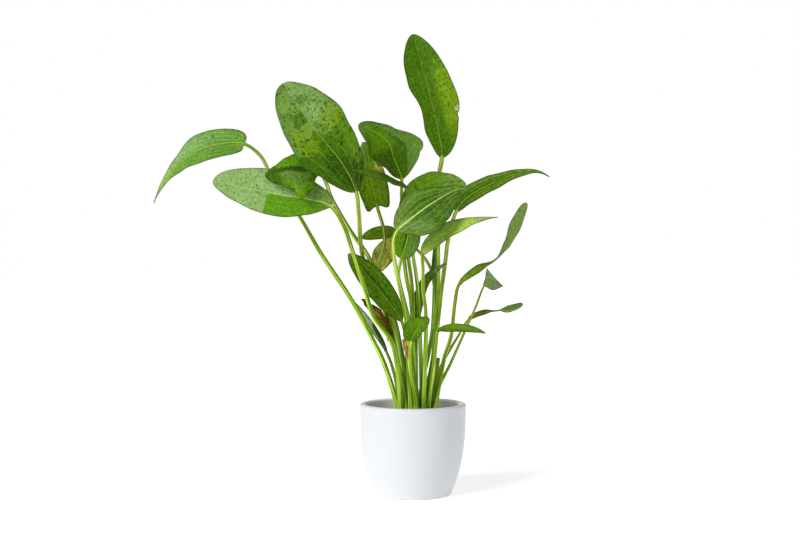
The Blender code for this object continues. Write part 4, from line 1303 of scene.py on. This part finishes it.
scrapShape = dict(
    line=[(-3.3, -18.0, 97.0), (-3.8, -18.6, 100.5), (-5.2, -19.0, 105.5), (-7.2, -18.8, 110.5)],
    rows=26, sides=18, flat=(1.0, 0.45, 1.0), dents=0.35,
)


def makeBed(material):
    # z = top + crowning (1 - r²) plus a ripple, closed by the side and the bottom
    gap = potShape["wall"] + bedShape["clear"]
    edge, rows = potRadius(bedShape["top"]) - gap, 34
    radius = np.linspace(peakRadius, edge, rows)
    crest = bedShape["top"] + bedShape["crowning"] * (1 - (radius / edge) ** 2)
    low = np.linspace(bedShape["top"] - 3, potShape["floor"] + 4, 6)
    side, bottom = potRadius(low) - gap, potShape["floor"] + bedShape["underside"]
    profile = np.concatenate([
        np.column_stack([radius, crest]), np.column_stack([side, low]),
        [(side[-1] - bedShape["taper"], bottom), (capRadius, bottom)],
    ])
    rings = turned(profile, bedShape["steps"])
    x, y, height = (rings[:rows, :, axis] for axis in range(3))
    height += bedShape["unevenness"] * ripple(x, y, 6.0, 3) - bedShape["sunk"]
    values = dict(grainTone=np.zeros(rings[..., 0].size))
    addPiece("bed.surface", closedTube(rings), material, "soil", values)


def lumps(centers, radii, seed, rows=5, around=7):
    # small closed rounds, each squashed, turned and dented in its own way, and their tones
    dice = np.random.default_rng(seed)
    count, heights = len(centers), np.linspace(0.35, math.pi - 0.35, rows)
    profile = np.column_stack([np.sin(heights), np.cos(heights)])
    ball = turned(profile, around).reshape(-1, 3)
    ball = ball * dice.uniform(0.88, 1.12, (count, rows * around, 1))
    frames = np.linalg.qr(dice.normal(size=(count, 3, 3)))[0]
    stretch = dice.uniform(0.75, 1.2, (count, 1, 3))
    shaped = np.einsum("nij,nkj->nki", frames, ball * stretch) * radii[:, None, None]
    balls = (centers[:, None] + shaped).reshape(count, rows, around, 3)
    tones = np.repeat(dice.uniform(0, 1, count), rows * around)
    return gathered([closedTube(ball) for ball in balls]), tones


def makeGrains(material):
    # strewn evenly over the disc round the crown, r = R sqrt(share)
    dice = np.random.default_rng(11)
    count = bedShape["grains"]
    share, turn = dice.uniform(0.0, 1, count), dice.uniform(0, 2 * math.pi, count)
    radius = bedShape["grainReach"] * np.sqrt(share)
    size = dice.uniform(*bedShape["grainRadius"], count)
    lift = dice.uniform(-0.1, 0.9, count) * size
    fallen = bedShape["crowning"] * (1 - (radius / bedShape["fallRadius"]) ** 2)
    base = bedShape["top"] - bedShape["grainSink"] + fallen
    x, y = radius * np.cos(turn), radius * np.sin(turn)
    kept = np.hypot(x - plant["crownCenter"][0], y) > bedShape["grainFree"]
    centers = np.column_stack([x, y, base + lift])[kept]
    shell, tones = lumps(centers, size[kept], 12)
    addPiece("bed.granules", shell, material, values=dict(grainTone=tones))


def makeCrown(material):
    # z = bottom + height (1 - r²)^0.35 plus a ripple: a low dome over the bed
    edge, bottom, rows = crownShape["radius"], crownShape["bottom"], 26
    radius = np.linspace(peakRadius, edge, rows)
    crest = bottom + crownShape["height"] * (1 - (radius / (edge + 1.5)) ** 2) ** 0.35
    under = [(edge + 1.4, bottom + 0.2), (edge + 1.2, bottom - 0.6), (capRadius, bottom - 0.6)]
    rings = turned(np.concatenate([np.column_stack([radius, crest]), under]), crownShape["steps"])
    x, y, height = (rings[:rows, :, axis] for axis in range(3))
    height += crownShape["unevenness"] * ripple(x, y, 4.5, 21)
    rings[..., 0] += plant["crownCenter"][0]
    addPiece("crown.body", closedTube(rings), material, "crown")


def makeSheaths(material):
    # old leaf bases: tapering curved scales that lean out round the crown
    dice = np.random.default_rng(31)
    up, side = np.meshgrid(np.linspace(0, 1, 9), np.linspace(-1, 1, 7), indexing="ij")
    shells = []
    for number in range(crownShape["sheaths"]):
        turn = 2 * math.pi * number * crownShape["sheathTurn"] + dice.uniform(-0.2, 0.2)
        out, tall, wide, lean = (dice.uniform(*crownShape["sheath" + key])
                                 for key in ("Reach", "Height", "Width", "Lean"))
        away = side * (wide * (1 - up ** 2) ** 0.6 + 0.08)
        height = crownShape["bottom"] + 1.5 + tall * up
        radius = out + lean * tall * up ** 2 - 0.5 * (away / wide) ** 2
        radius = radius + 0.3 * np.sin(4 * up + number)
        cosine, sine, half = math.cos(turn), math.sin(turn), crownShape["sheathThickness"] / 2
        skins = [np.stack([plant["crownCenter"][0] + reach * cosine - away * sine,
                           reach * sine + away * cosine, height], axis=-1)
                 for reach in (radius + half, radius - half)]
        shells.append(closedSkins(*skins))
    addPiece("crown.sheaths", gathered(shells), material)


def makeScrap(material):
    # the dry rest of an old leaf base: a flattened tube, R (1 + ripple), thin at both ends
    share = np.linspace(0, 1, scrapShape["rows"])
    center = spread(np.array(scrapShape["line"]), share)
    radii = 0.5 + 1.3 * np.sin(math.pi * share ** 0.8) ** 0.7
    offset = tubeRings(center, radii, scrapShape["sides"]) - center[:, None]
    share, turn = np.meshgrid(share, circle(scrapShape["sides"]), indexing="ij")
    dents = 1 + scrapShape["dents"] * ripple(4 * turn, 22 * share, 5.0, 77)
    rings = center[:, None] + offset * dents[..., None] * scrapShape["flat"]
    addPiece("crown.scrap", closedTube(rings), material)


def makeRoots(material):
    # thin roots that leave the crown's rim and creep over the granules
    dice = np.random.default_rng(41)
    share, shells = np.linspace(0, 1, 22), []
    for number in range(crownShape["roots"]):
        turn = 2 * math.pi * (number + dice.uniform(-0.3, 0.3)) / crownShape["roots"]
        reach = crownShape["rootReach" if math.cos(turn) < 0.7 else "shortReach"]
        radius = crownShape["rootStart"] + dice.uniform(*reach) * share
        angle = turn + 0.12 * np.sin(share * dice.uniform(4, 8) + number) * share
        height = crownShape["bottom"] + 1.2 - share ** 0.5 - 1.6 * share ** 4
        height = height + 0.35 * np.sin(share * 9 + number) * (1 - share)
        x, y = plant["crownCenter"][0] + radius * np.cos(angle), radius * np.sin(angle)
        radii = crownShape["rootRadius"] * (1 - 0.6 * share) * dice.uniform(0.8, 1.2)
        rings = tubeRings(np.column_stack([x, y, height]), radii, crownShape["rootSides"])
        shells.append(closedTube(rings))
    addPiece("crown.roots", gathered(shells), material)


def makeBedMaterial():
    # baked clay granules, each of its own darkness
    material, tree = newMaterial("bed.granules")
    fine = noise(put("TexCoord", tree=tree)["Object"], 900.0)
    share = fine * 0.6 + attribute(tree, "grainTone", "Fac") * 0.5
    color = blend(ease(share, 0.15, 0.95), bedShape["dark"], bedShape["light"])
    shader, bump = shaded(color, bedShape["roughness"], fine, bedShape)
    return finished(material, shader)


def makeCrownMaterial(name, first, second, scale):
    # fibres drawn out upwards between the two colours, and darker patches
    material, tree = newMaterial(name)
    where = put("TexCoord", tree=tree)["Object"]
    fibres = noise(combine("MULTIPLY", where, (1.0, 1.0, 0.25)), scale, 4.0)
    patches = noise(where, scale * 0.2, 2.0)
    color = blend(ease(fibres, 0.35, 0.65), crownShape[first], crownShape[second])
    color = blend(ease(patches, 0.5, 0.7, 0.0, 0.7), color, crownShape["fibre"])
    shader, bump = shaded(color, crownShape["roughness"], fibres, crownShape)
    return finished(material, shader)


bedMaterial = makeBedMaterial()
makeBed(bedMaterial)
makeGrains(bedMaterial)
makeCrown(makeCrownMaterial("crown.flesh", "flesh", "fibre", 500.0))
makeSheaths(makeCrownMaterial("crown.sheaths", "pale", "flesh", 700.0))
makeScrap(makeCrownMaterial("crown.scrap", "dry", "dryDark", 800.0))
makeRoots(makeCrownMaterial("crown.roots", "pale", "fibre", 900.0))
print("growing medium, crown, sheaths and roots")
